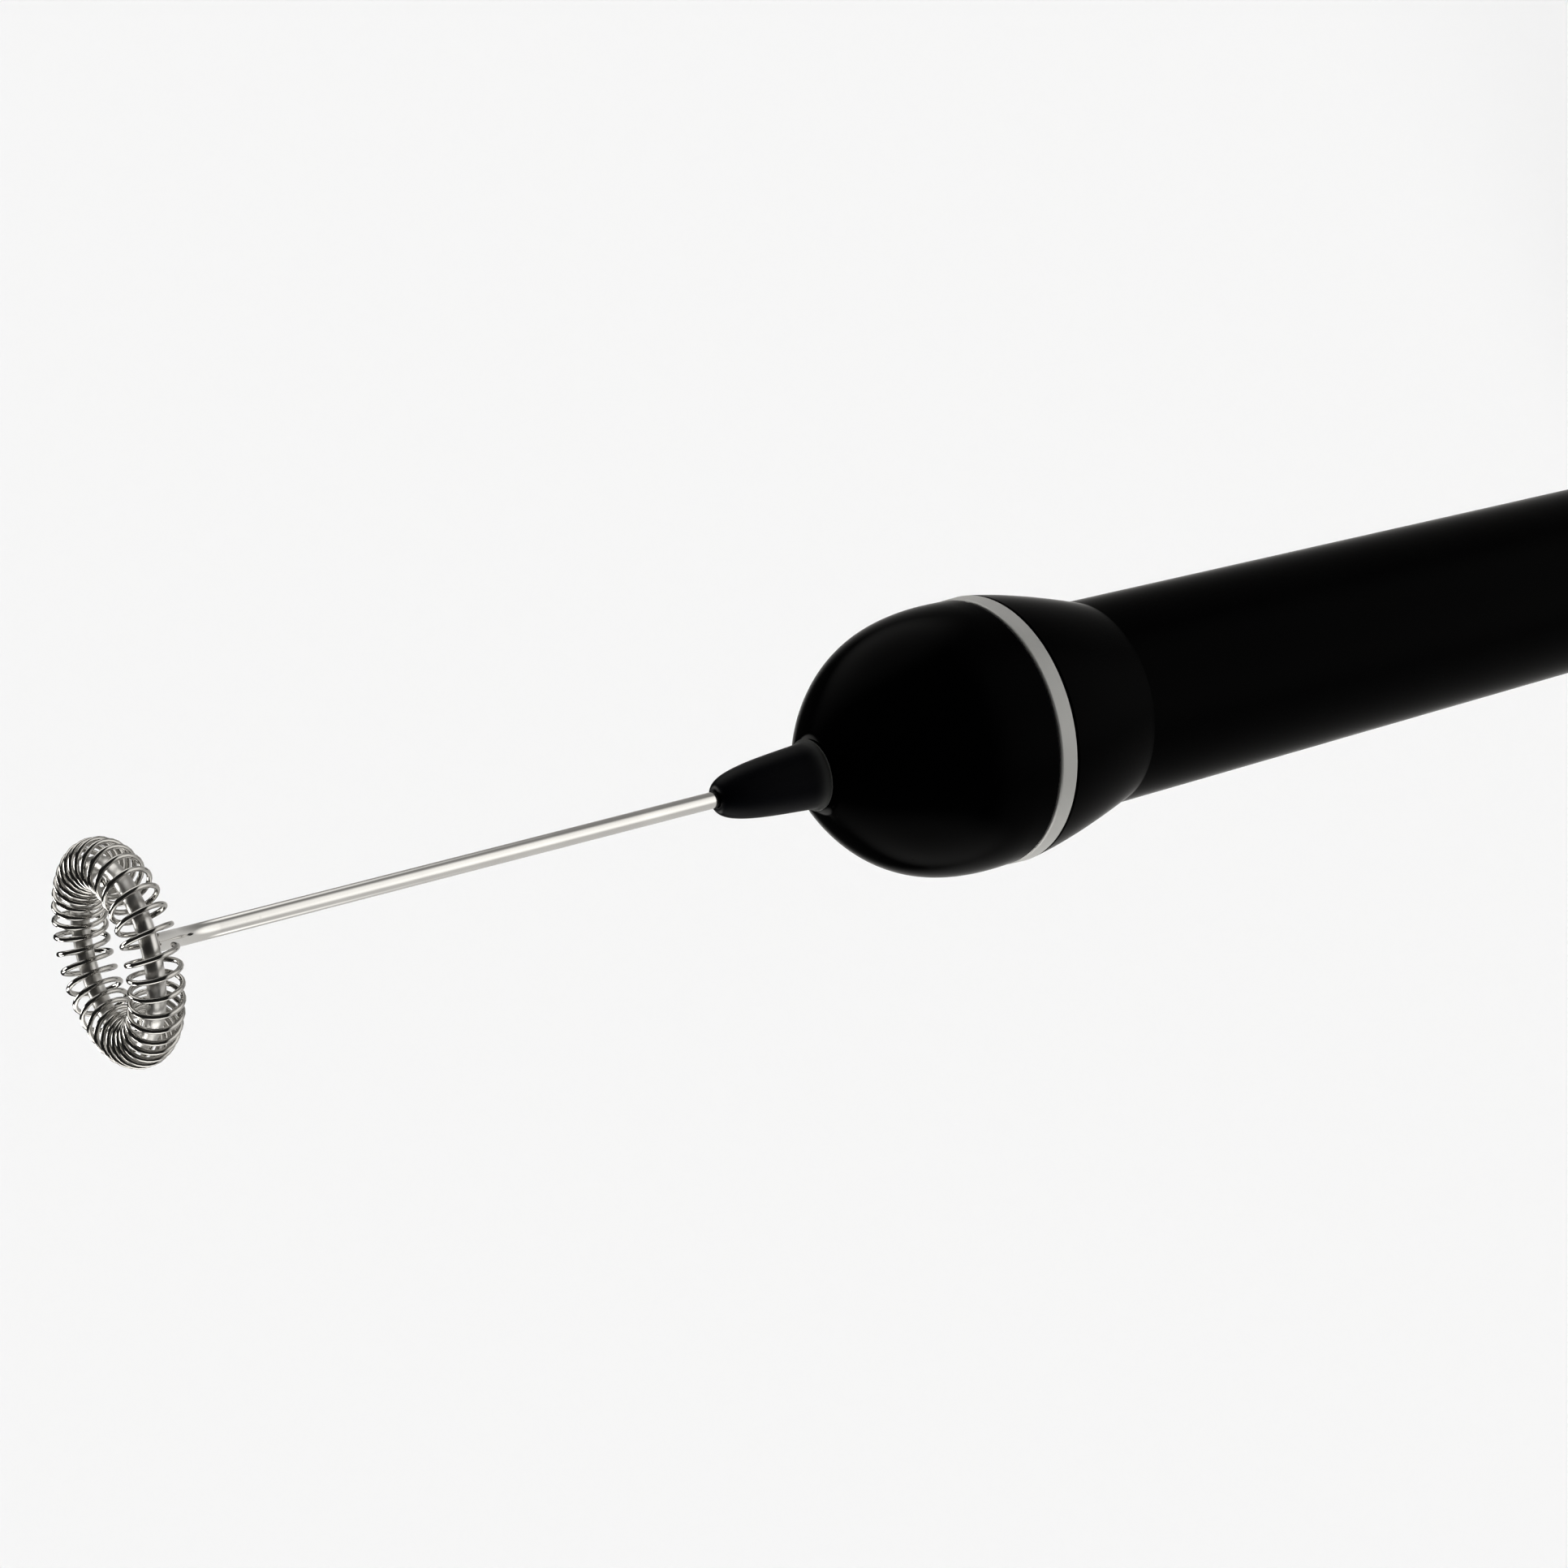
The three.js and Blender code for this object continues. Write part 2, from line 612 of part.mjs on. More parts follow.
function pushButton() {
  const { faceZ, r, flangeR, flangeZ, flangeTopZ, bossR, bossZ } = BUTTON;
  return lathe([
    [0, faceZ],
    [r - 0.5, faceZ],
    [r, faceZ + 0.5],
    [r, flangeZ],
    [flangeR, flangeZ],
    [flangeR, flangeTopZ],
    [bossR, flangeTopZ],
    [bossR, bossZ],
    [0, bossZ],
  ], SMALL_SIDES);
}

function movingContact() {
  return bar(2.2, BUTTON.bossZ + GAP, BUTTON.bossZ + GAP + 0.4);
}

function buttonSpring() {
  const { r, wireR, lowZ, highZ, turns } = BUTTON_SPRING;
  const curve = new SpringCurve({ lowR: r, highR: r, lowZ, highZ, turns });
  return wire(curve, wireR, turns * 10, 6);
}

function switchBase() {
  const { lowZ, highZ, r } = SWITCH_BASE;
  return lathe([[1.5, lowZ], [r, lowZ], [r, highZ], [1.5, highZ]]);
}

function fixedContact() {
  const headZ = SWITCH_BASE.lowZ - GAP;
  return lathe([
    [0, headZ - 0.6],
    [2.6, headZ - 0.6],
    [2.6, headZ],
    [1.2, headZ],
    [1.2, SWITCH_BASE.highZ],
    [0, SWITCH_BASE.highZ],
  ], SMALL_SIDES);
}

function cellSpring() {
  const { wireR, turns } = CELL_SPRING;
  return wire(new SpringCurve(CELL_SPRING), wireR, turns * 10, 6);
}

function capContactRing() {
  const lowZ = CAP.spigotZ + GAP;
  return lathe([[7.9, lowZ], [10.6, lowZ], [10.6, lowZ + 0.5], [7.9, lowZ + 0.5]]);
}

function capStrip() {
  return block([-8.6, -1.5, SWITCH_BASE.highZ + GAP], [-8.2, 1.5, CAP.spigotZ]);
}

// ---------------------------------------------------------------- assembly

const frother = new THREE.Group();

// Adds one sub-part to a group.
function add(group, name, geometry, finish) {
  const mesh = new THREE.Mesh(geometry, finish());
  mesh.name = name;
  group.add(mesh);
}

const rotor = new THREE.Group();
add(rotor, "whisk_rod", whiskRod(), FINISH.steel);
add(rotor, "whisk_coil", whiskCoil(), FINISH.steel);
add(rotor, "shaft_coupling", shaftCoupling(), FINISH.white);
add(rotor, "motor_shaft", motorShaft(), FINISH.steel);
add(rotor, "armature_core", armatureCore(), FINISH.plate);
for (let i = 0; i < 3; i += 1) {
  add(rotor, `armature_winding_${i + 1}`, winding(i), FINISH.copper);
}
add(rotor, "commutator", commutator(), FINISH.copper);
frother.add(rotor);

const housing = new THREE.Group();
add(housing, "nose_cone", noseCone(), FINISH.satinBlack);
add(housing, "rod_guide", rodGuide(), FINISH.white);
add(housing, "dome_housing", domeHousing(), FINISH.glossBlack);
add(housing, "trim_band", trimBand(), FINISH.silver);
add(housing, "handle_housing", handleHousing(), FINISH.glossBlack);
add(housing, "motor_mount", motorMount(), FINISH.grey);
add(housing, "mount_screw_left", mountScrew(-1), FINISH.plate);
add(housing, "mount_screw_right", mountScrew(1), FINISH.plate);
frother.add(housing);

const motor = new THREE.Group();
add(motor, "motor_can", motorCan(), FINISH.plate);
add(motor, "motor_end_bell", motorEndBell(), FINISH.white);
add(motor, "front_bushing", bushing(MOTOR.highZ - 1), FINISH.brass);
add(motor, "rear_bushing", bushing(MOTOR.bellLowZ - 0.4), FINISH.brass);
add(motor, "magnet_back", magnet(1), FINISH.magnet);
add(motor, "magnet_front", magnet(-1), FINISH.magnet);
add(motor, "terminal_left", terminal(Math.PI), FINISH.brass);
add(motor, "terminal_right", terminal(0), FINISH.brass);
frother.add(motor);

const supply = new THREE.Group();
add(supply, "battery_sleeve", batterySleeve(), FINISH.grey);
add(supply, "battery_rear", cell(REAR_CELL_Z), FINISH.jacket);
add(supply, "battery_front", cell(FRONT_CELL_Z), FINISH.jacket);
add(supply, "contact_bulkhead", contactBulkhead(), FINISH.grey);
add(supply, "positive_contact", positiveContact(), FINISH.plate);
add(supply, "return_strip", returnStrip(), FINISH.plate);
add(supply, "lead_positive", lead(LEAD_POSITIVE), FINISH.red);
add(supply, "lead_return", lead(LEAD_RETURN), FINISH.rubber);
frother.add(supply);

const cap = new THREE.Group();
add(cap, "end_cap", endCap(), FINISH.glossBlack);
add(cap, "cap_o_ring", capORing(), FINISH.rubber);
add(cap, "switch_base", switchBase(), FINISH.grey);
add(cap, "fixed_contact", fixedContact(), FINISH.plate);
add(cap, "button_spring", buttonSpring(), FINISH.steel);
add(cap, "cell_spring", cellSpring(), FINISH.steel);
add(cap, "cap_contact_ring", capContactRing(), FINISH.plate);
add(cap, "cap_strip", capStrip(), FINISH.plate);
frother.add(cap);

const button = new THREE.Group();
add(button, "push_button", pushButton(), FINISH.satinBlack);
add(button, "moving_contact", movingContact(), FINISH.plate);
frother.add(button);

export default frother;
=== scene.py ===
"""Dresses the hand-held milk frother: fine surfaces, finishes, floor, light and camera.

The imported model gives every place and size. The frother stands on its end cap with its axis
along Z. Sizes in this script are in millimetres, and meshes are made in metres.
"""

from __future__ import annotations

import json
import logging
import math
from collections.abc import Sequence
from dataclasses import dataclass
from enum import Enum

import bmesh
import bpy
from mathutils import Matrix, Vector
from mathutils.geometry import interpolate_bezier

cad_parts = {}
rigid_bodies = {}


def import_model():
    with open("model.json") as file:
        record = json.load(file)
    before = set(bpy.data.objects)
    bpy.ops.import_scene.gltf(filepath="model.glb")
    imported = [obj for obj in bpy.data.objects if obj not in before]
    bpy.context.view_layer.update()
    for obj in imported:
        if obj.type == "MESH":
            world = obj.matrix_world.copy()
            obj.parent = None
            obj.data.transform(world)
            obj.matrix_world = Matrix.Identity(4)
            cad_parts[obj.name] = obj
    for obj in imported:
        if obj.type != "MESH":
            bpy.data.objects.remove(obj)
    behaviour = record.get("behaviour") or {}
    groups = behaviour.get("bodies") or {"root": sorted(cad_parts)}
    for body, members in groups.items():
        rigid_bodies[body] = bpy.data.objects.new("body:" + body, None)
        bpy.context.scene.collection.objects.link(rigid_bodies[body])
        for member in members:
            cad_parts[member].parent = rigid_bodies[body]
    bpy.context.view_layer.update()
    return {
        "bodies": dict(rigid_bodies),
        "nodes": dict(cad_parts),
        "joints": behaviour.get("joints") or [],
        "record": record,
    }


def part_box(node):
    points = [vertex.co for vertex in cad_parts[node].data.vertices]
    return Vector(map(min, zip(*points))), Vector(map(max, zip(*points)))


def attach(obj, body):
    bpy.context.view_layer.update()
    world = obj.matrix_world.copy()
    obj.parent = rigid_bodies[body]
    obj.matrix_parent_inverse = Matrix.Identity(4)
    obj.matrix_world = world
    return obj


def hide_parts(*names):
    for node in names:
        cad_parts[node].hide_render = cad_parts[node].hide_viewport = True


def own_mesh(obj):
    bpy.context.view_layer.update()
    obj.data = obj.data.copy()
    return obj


LOG = logging.getLogger("frother")

MM = 0.001
FULL_TURN = 2.0 * math.pi
ROUND_HANDLE = 0.55  # share of a corner that a curve's handle takes to make it round
CORNER_HANDLE = 2.0 / 3.0  # share that gives a curve drawn by one corner
LONGEST_ROUND = 0.49  # share of a side that one corner's rounding may take
FILLET_STEPS = 6
WIRE_END_ROUND = 0.4  # share of a wire's radius by which its ends are rounded
SAME_PLACE = 1e-7  # vertices nearer than this, in metres, are one
SHARP_DEGREES = 40.0  # edges that turn by more than this stay crisp

Place = Sequence[float] | Vector  # radius and height, or X, Y and Z
Colour = tuple[float, float, float]


class Body(Enum):
    """The moving bodies that a piece can ride on."""

    HOUSING = "housing"
    WHISK = "whisk"
    CAP = "cap"
    BUTTON = "button"


# ------------------------------------------------------------------ mesh making


def curve(start: Place, lead: Place, trail: Place, end: Place, steps: int = 24) -> list[Vector]:
    """Points on a cubic curve, in an outline's radius and height or in space.

    Args:
        start: First point.
        lead: Handle that leaves the first point.
        trail: Handle that reaches the last point.
        end: Last point.
        steps: How many points to give.

    Returns:
        The points, both ends included.
    """
    return interpolate_bezier(Vector(start), Vector(lead), Vector(trail), Vector(end), steps)


def bend(start: Place, corner: Place, end: Place, steps: int = 16) -> list[Vector]:
    """Points on a curve that leaves start and reaches end on lines through one corner.

    Args:
        start: First point.
        corner: Where the two lines meet.
        end: Last point.
        steps: How many points to give.

    Returns:
        The points, both ends included.
    """
    lead = Vector(start).lerp(Vector(corner), CORNER_HANDLE)
    trail = Vector(end).lerp(Vector(corner), CORNER_HANDLE)
    return curve(start, lead, trail, end, steps)


def outline(*corners: tuple[float, ...]) -> list[Place]:
    """Rounds the corners of a closed outline.

    Args:
        corners: Radius, height and, where the corner is rounded, how far the rounding reaches.

    Returns:
        The outline's points.
    """
    points: list[Place] = []
    for index, corner in enumerate(corners):
        here = Vector(corner[:2])
        if len(corner) == 2:
            points.append(here)
            continue
        ends = []
        for neighbour in (corners[index - 1], corners[(index + 1) % len(corners)]):
            way = Vector(neighbour[:2]) - here
            ends.append(here + way.normalized() * min(corner[2], LONGEST_ROUND * way.length))
        lead, trail = (end.lerp(here, ROUND_HANDLE) for end in ends)
        points += curve(ends[0], lead, trail, ends[1], FILLET_STEPS)
    return points


def round_section(middle_r: float, middle_z: float, radius: float, sides: int) -> list[Place]:
    """The outline of a round section.

    Args:
        middle_r: Distance of its middle from the axis.
        middle_z: Height of its middle.
        radius: Its radius.
        sides: Its number of sides.

    Returns:
        The outline's points.
    """
    turns = [FULL_TURN * side / sides for side in range(sides)]
    return [(middle_r + radius * math.cos(turn), middle_z + radius * math.sin(turn)) for turn in turns]


def object_from(name: str, bm: bmesh.types.BMesh) -> bpy.types.Object:
    """Turns a finished bmesh into a smooth-shaded object at the origin.

    Args:
        name: The piece's name.
        bm: The mesh in metres. It is freed.

    Returns:
        The new object, linked to the scene.
    """
    bmesh.ops.recalc_face_normals(bm, faces=bm.faces)
    mesh = bpy.data.meshes.new(name)
    bm.to_mesh(mesh)
    bm.free()
    mesh.shade_smooth()
    mesh.set_sharp_from_angle(angle=math.radians(SHARP_DEGREES))
    piece = bpy.data.objects.new(name, mesh)
    bpy.context.scene.collection.objects.link(piece)
    return piece


def spun(name: str, points: Sequence[Place], sides: int = 128) -> bpy.types.Object:
    """Spins a closed outline round the Z axis.

    Args:
        name: The piece's name.
        points: Radius and height pairs. An outline that reaches the axis starts and ends on it.
        sides: Number of sides round the axis.

    Returns:
        The new object, with its broad faces shaded flat across their rounded edges.
    """
    bm = bmesh.new()
    corners = [bm.verts.new((r * MM, 0.0, z * MM)) for r, z in points]
    edges = [bm.edges.new(pair) for pair in zip(corners, corners[1:])]
    if points[0][0] > 0.0:
        edges.append(bm.edges.new((corners[-1], corners[0])))
    bmesh.ops.spin(
        bm,
        geom=corners + edges,
        cent=(0.0, 0.0, 0.0),
        axis=(0.0, 0.0, 1.0),
        angle=FULL_TURN,
        steps=sides,
        use_merge=True,
    )
    bmesh.ops.remove_doubles(bm, verts=bm.verts, dist=SAME_PLACE)
    piece = object_from(name, bm)
    shading = piece.modifiers.new("even_shading", "WEIGHTED_NORMAL")
    shading.keep_sharp = True
    return piece


def frames_along(route: Sequence[Vector]) -> list[Matrix]:
    """Frames that follow a route without twisting, each with its Z along the route.

    Args:
        route: Points in metres.

    Returns:
        One frame for each point.
    """
    ways = [(after - before).normalized() for before, after in zip(route, route[1:])]
    middles = [(before + after).normalized() for before, after in zip(ways, ways[1:])]
    directions = [ways[0], *middles, ways[-1]]
    turn = directions[0].to_track_quat("Z", "Y")
    frames = []
    last = directions[0]
    for place, direction in zip(route, directions):
        turn = last.rotation_difference(direction) @ turn
        last = direction
        frames.append(Matrix.Translation(place) @ turn.to_matrix().to_4x4())
    return frames


def rim(ring: set[bmesh.types.BMVert]) -> list[bmesh.types.BMEdge]:
    """The edges that join the vertices of one ring."""
    return list({edge for vert in ring for edge in vert.link_edges if edge.other_vert(vert) in ring})


def swept(name: str, route: Sequence[Vector], radius: float, sides: int) -> bpy.types.Object:
    """A round wire along a route, with rounded ends.

    Args:
        name: The piece's name.
        route: Points of the wire's centre line, in metres.
        radius: Radius of the wire in millimetres.
        sides: Number of sides of its section.

    Returns:
        The new object.
    """
    bm = bmesh.new()
    frames = frames_along(route)
    first = bmesh.ops.create_circle(
        bm, cap_ends=True, segments=sides, radius=radius * MM, matrix=frames[0]
    )
    ring = set(first["verts"])
    first_rim = rim(ring)
    for before, after in zip(frames, frames[1:]):
        made = bmesh.ops.extrude_edge_only(bm, edges=rim(ring))["geom"]
        ring = {part for part in made if isinstance(part, bmesh.types.BMVert)}
        bmesh.ops.transform(bm, matrix=after @ before.inverted(), verts=list(ring))
    last_rim = rim(ring)
    bmesh.ops.holes_fill(bm, edges=last_rim, sides=sides)
    bmesh.ops.bevel(
        bm,
        geom=first_rim + last_rim,
        offset=WIRE_END_ROUND * radius * MM,
        segments=3,
        affect="EDGES",
        profile=0.5,
        material=-1,
    )
    return object_from(name, bm)


def heights(node: str) -> tuple[float, float]:
    """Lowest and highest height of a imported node, in millimetres."""
    low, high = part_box(node)
    return low.z / MM, high.z / MM


def reach(node: str) -> float:
    """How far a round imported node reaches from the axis, in millimetres."""
    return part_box(node)[1].x / MM


# ------------------------------------------------------------------ shader building


class Graph:
    """A short way to place and join nodes in one node tree."""

    def __init__(self, tree: bpy.types.NodeTree) -> None:
        """Starts from an empty tree.

        Args:
            tree: The tree to fill.
        """
        self.tree = tree
        tree.nodes.clear()

    def add(self, kind: str, inputs: dict[str, object] | None = None, **settings: object) -> bpy.types.Node:
        """Places a node.

        Args:
            kind: The node's type name, without its Shader and Node parts.
            inputs: Values, or sockets to join, by input name.
            settings: Properties of the node.

        Returns:
            The new node.
        """
        node = self.tree.nodes.new("ShaderNode" + kind)
        for name, value in settings.items():
            setattr(node, name, value)
        for name, value in (inputs or {}).items():
            self.feed(node.inputs[name], value)
        return node

    def feed(self, socket: bpy.types.NodeSocket, value: object) -> None:
        """Joins an input to a socket, or sets its value.

        Args:
            socket: The input.
            value: An output socket or a plain value.
        """
        if isinstance(value, bpy.types.NodeSocket):
            self.tree.links.new(value, socket)
        else:
            socket.default_value = value

    def group(self, tree: bpy.types.NodeTree, **values: float) -> bpy.types.Node:
        """Places a shared group.

        Args:
            tree: The group's tree.
            values: Values of its inputs, with underscores for spaces.

        Returns:
            The group's node.
        """
        named = {name.replace("_", " "): value for name, value in values.items()}
        node = self.tree.nodes.new("ShaderNodeGroup")
        node.node_tree = tree
        for name, value in named.items():
            node.inputs[name].default_value = value
        return node

    def maths(self, operation: str, first: object, second: object = 0.0) -> bpy.types.NodeSocket:
        """One sum on two values.

        Args:
            operation: Name of the operation.
            first: Value or socket.
            second: Value or socket.

        Returns:
            The result's socket.
        """
        node = self.add("Math", operation=operation)
        self.feed(node.inputs[0], first)
        self.feed(node.inputs[1], second)
        return node.outputs[0]

    def ease(
        self,
        value: object,
        low: float = 0.0,
        high: float = 1.0,
        start: float = 0.0,
        end: float = 1.0,
    ) -> bpy.types.NodeSocket:
        """Maps a value from one range smoothly onto another.

        Args:
            value: Socket to map.
            low: Start of the range that goes in.
            high: End of the range that goes in.
            start: Result at low.
            end: Result at high.

        Returns:
            The result's socket.
        """
        node = self.add("MapRange", interpolation_type="SMOOTHSTEP")
        for socket, number in zip(node.inputs[:5], (value, low, high, start, end)):
            self.feed(socket, number)
        return node.outputs[0]

    def blend(self, share: object, first: object, second: object) -> bpy.types.NodeSocket:
        """Mixes two colours.

        Args:
            share: Share of the second colour.
            first: Colour or socket.
            second: Colour or socket.

        Returns:
            The mixed colour's socket.
        """
        # The colour sockets come after those for numbers and vectors.
        node = self.add("Mix", data_type="RGBA")
        self.feed(node.inputs[0], share)
        self.feed(node.inputs[6], first)
        self.feed(node.inputs[7], second)
        return node.outputs[2]

    def place(self) -> bpy.types.NodeSocket:
        """The position on the piece, in metres."""
        return self.add("TexCoord").outputs["Object"]

    def height(self) -> bpy.types.NodeSocket:
        """The height on the piece, in metres."""
        return self.add("SeparateXYZ", {"Vector": self.place()}).outputs["Z"]


class SharedEffect:
    """A shader group of values that many finishes use."""

    def __init__(self, name: str, inputs: dict[str, float], outputs: Sequence[str]) -> None:
        """Makes the group's empty tree.

        Args:
            name: The group's name.
            inputs: Defaults of its inputs by name.
            outputs: Names of its outputs.
        """
        self.tree = bpy.data.node_groups.new(name, "ShaderNodeTree")
        for label, default in inputs.items():
            made = self.tree.interface.new_socket(name=label, in_out="INPUT", socket_type="NodeSocketFloat")
            made.default_value = default
        for label in outputs:
            self.tree.interface.new_socket(name=label, in_out="OUTPUT", socket_type="NodeSocketFloat")
        self.graph = Graph(self.tree)
        self.given = self.tree.nodes.new("NodeGroupInput").outputs
        self.result = self.tree.nodes.new("NodeGroupOutput").inputs


def edge_wear_and_highlight() -> bpy.types.NodeTree:
    """Builds the mask of edges that get edge wear and painted edge highlights, from how far a rounded
    normal leaves the true one.

    Returns:
        The group's tree.
    """
    effect = SharedEffect("edge_wear_and_highlight", {"Width": 0.0002, "Patchiness": 600.0}, ["Mask"])
    graph = effect.graph
    rounded = graph.add("Bevel", {"Radius": effect.given["Width"]}, samples=4)
    true = graph.add("NewGeometry")
    agree = graph.add("VectorMath", operation="DOT_PRODUCT")
    graph.feed(agree.inputs[0], rounded.outputs["Normal"])
    graph.feed(agree.inputs[1], true.outputs["Normal"])
    turned = graph.ease(agree.outputs["Value"], low=0.99, high=0.80)
    patches = graph.add("TexNoise", {"Vector": graph.place(), "Scale": effect.given["Patchiness"]})
    kept = graph.ease(patches.outputs[0], low=0.35, high=0.65, start=0.3)
    graph.feed(effect.result["Mask"], graph.maths("MULTIPLY", turned, kept))
    return effect.tree


def surface_grain() -> bpy.types.NodeTree:
    """Builds the height of a moulded or cast surface: fine grain over a slow ripple.

    Returns:
        The group's tree.
    """
    effect = SharedEffect("surface_grain", {"Fine": 3000.0, "Slow": 250.0, "Ripple": 1.5}, ["Height"])
    graph = effect.graph
    fine = graph.add("TexNoise", {"Vector": graph.place(), "Scale": effect.given["Fine"], "Detail": 3.0})
    slow = graph.add("TexNoise", {"Vector": graph.place(), "Scale": effect.given["Slow"], "Detail": 1.0})
    ripple = graph.maths("MULTIPLY", slow.outputs[0], effect.given["Ripple"])
    graph.feed(effect.result["Height"], graph.maths("ADD", fine.outputs[0], ripple))
    return effect.tree


def handling_marks() -> bpy.types.NodeTree:
    """Builds two masks of use: cloudy smudges and small specks of dust.

    Returns:
        The group's tree.
    """
    effect = SharedEffect("handling_marks", {"Smudges": 90.0, "Specks": 700.0}, ["Smudge", "Speck"])
    graph = effect.graph
    cloud = graph.add(
        "TexNoise",
        {"Vector": graph.place(), "Scale": effect.given["Smudges"], "Detail": 5.0, "Distortion": 0.8},
    )
    graph.feed(effect.result["Smudge"], graph.ease(cloud.outputs[0], low=0.38, high=0.68))
    cells = graph.add("TexVoronoi", {"Vector": graph.place(), "Scale": effect.given["Specks"]})
    near = graph.ease(cells.outputs["Distance"], low=0.18, high=0.06)
    lot = graph.add("SeparateColor", {"Color": cells.outputs["Color"]})
    few = graph.ease(lot.outputs["Red"], low=0.90, high=0.94)
    graph.feed(effect.result["Speck"], graph.maths("MULTIPLY", near, few))
    return effect.tree


def tool_lines() -> bpy.types.NodeTree:
    """Builds the height of drawn or turned metal: noise stretched along or round the axis.

    Returns:
        The group's tree.
    """
    effect = SharedEffect("tool_lines", {"Across": 6000.0, "Along": 60.0}, ["Height"])
    graph = effect.graph
    parts = graph.add("SeparateXYZ", {"Vector": graph.place()})
    scaled = {axis: graph.maths("MULTIPLY", parts.outputs[axis], effect.given["Across"]) for axis in "XY"}
    scaled["Z"] = graph.maths("MULTIPLY", parts.outputs["Z"], effect.given["Along"])
    stretched = graph.add("CombineXYZ", scaled)
    noise = graph.add("TexNoise", {"Vector": stretched.outputs[0], "Scale": 1.0, "Detail": 2.0})
    graph.feed(effect.result["Height"], noise.outputs[0])
    return effect.tree


class Effects:
    """The shared groups, each built once."""

    def __init__(self) -> None:
        """Builds every group."""
        self.edges = edge_wear_and_highlight()
        self.grain = surface_grain()
        self.marks = handling_marks()
        self.lines = tool_lines()


def shade(colour: Colour, factor: float = 1.0) -> tuple[float, float, float, float]:
    """A colour made lighter or darker, kept within 0 to 1, with full alpha."""
    return (*(min(1.0, part * factor) for part in colour), 1.0)


# ------------------------------------------------------------------ finishes


@dataclass(frozen=True)
class Finish:
    """A surface finish. Every kind has smudges, specks, an edge colour for wear and painted edge
    highlights, and a bump.
    """

    slot: str
    colour: Colour
    roughness: float
    variation: float = 0.12
    edge_wear_and_highlight_colour: Colour = (0.05, 0.05, 0.052)
    edge_wear_and_highlight_share: float = 0.35
    edge_width: float = 0.15
    smudge: float = 0.08
    dust: float = 0.25
    metallic: float = 0.0
    specular: float = 0.5
    bump_depth: float = 0.002

    def base(self, graph: Graph, smudge: bpy.types.NodeSocket) -> bpy.types.NodeSocket:
        """The colour before wear.

        Args:
            graph: The material's graph.
            smudge: Mask of cloudy smudges.

        Returns:
            The colour's socket.
        """
        low = shade(self.colour, 1.0 - self.variation)
        high = shade(self.colour, 1.0 + self.variation)
        return graph.blend(smudge, low, high)

    def height(self, graph: Graph, effects: Effects) -> bpy.types.NodeSocket:
        """The bump's height, which each kind of finish makes its own way."""
        raise NotImplementedError

    def build(self, name: str, effects: Effects) -> bpy.types.Material:
        """Makes the material.

        Args:
            name: The material's name.
            effects: The shared groups.

        Returns:
            The new material.
        """
        material = bpy.data.materials.new(name)
        material.use_nodes = True
        graph = Graph(material.node_tree)
        marks = graph.group(effects.marks).outputs
        # The edge colour paints edge wear, and on edges that catch the light it paints a highlight.
        edge_wear_and_highlight_mask = graph.group(effects.edges, Width=self.edge_width * MM).outputs["Mask"]
        share = graph.maths("MULTIPLY", edge_wear_and_highlight_mask, self.edge_wear_and_highlight_share)
        colour = graph.blend(share, self.base(graph, marks["Smudge"]), shade(self.edge_wear_and_highlight_colour))
        smeared = graph.ease(marks["Smudge"], start=self.roughness, end=self.roughness + self.smudge)
        rough = graph.maths("ADD", smeared, graph.maths("MULTIPLY", marks["Speck"], self.dust))
        bump = graph.add("Bump", {"Height": self.height(graph, effects), "Distance": self.bump_depth * MM})
        shader = graph.add(
            "BsdfPrincipled",
            {
                "Base Color": colour,
                "Roughness": rough,
                "Metallic": self.metallic,
                "Specular IOR Level": self.specular,
                "Normal": bump.outputs["Normal"],
            },
        )
        graph.add("OutputMaterial", {"Surface": shader.outputs["BSDF"]})
        return material


@dataclass(frozen=True)
class Moulded(Finish):
    """Moulded plastic or rubber, or cast ferrite: a fine grain over a slow ripple."""

    fine: float = 3000.0
    slow: float = 260.0
    ripple: float = 1.5

    def height(self, graph: Graph, effects: Effects) -> bpy.types.NodeSocket:
        """The height of the grain."""
        made = graph.group(effects.grain, Fine=self.fine, Slow=self.slow, Ripple=self.ripple)
        return made.outputs["Height"]


@dataclass(frozen=True)
class FlaredFoot(Moulded):
    """Moulded plastic with a painted highlight at its flared foot: the colour pales towards the foot."""

    # Painted highlight: the pale colour that the nose fades to at its foot.
    foot_highlight_colour: Colour = (0.05, 0.051, 0.049)
    foot_z: float = 162.3
    fade_z: float = 164.8
    fade_power: float = 3.0

    def base(self, graph: Graph, smudge: bpy.types.NodeSocket) -> bpy.types.NodeSocket:
        """The colour, paler towards the foot, where the highlight is painted.

        Args:
            graph: The material's graph.
            smudge: Mask of cloudy smudges.

        Returns:
            The colour's socket.
        """
        below = graph.maths("SUBTRACT", self.fade_z * MM, graph.height())
        share = graph.maths("DIVIDE", below, (self.fade_z - self.foot_z) * MM)
        within = graph.maths("MINIMUM", graph.maths("MAXIMUM", share, 0.0), 1.0)
        kept = graph.maths("POWER", within, self.fade_power)
        return graph.blend(kept, super().base(graph, smudge), shade(self.foot_highlight_colour))


@dataclass(frozen=True)
class Lined(Finish):
    """Metal with fine lines: drawn along the axis, or turned or wound round it."""

    metallic: float = 1.0
    across: float = 6000.0
    along: float = 60.0

    def height(self, graph: Graph, effects: Effects) -> bpy.types.NodeSocket:
        """The height of the lines."""
        return graph.group(effects.lines, Across=self.across, Along=self.along).outputs["Height"]


@dataclass(frozen=True)
class BrightWire(Lined):
    """Drawn and polished wire, with neither edge wear nor painted edge highlights, and little dust."""

    edge_wear_and_highlight_share: float = 0.0
    smudge: float = 0.05
    dust: float = 0.08
    bump_depth: float = 0.0002


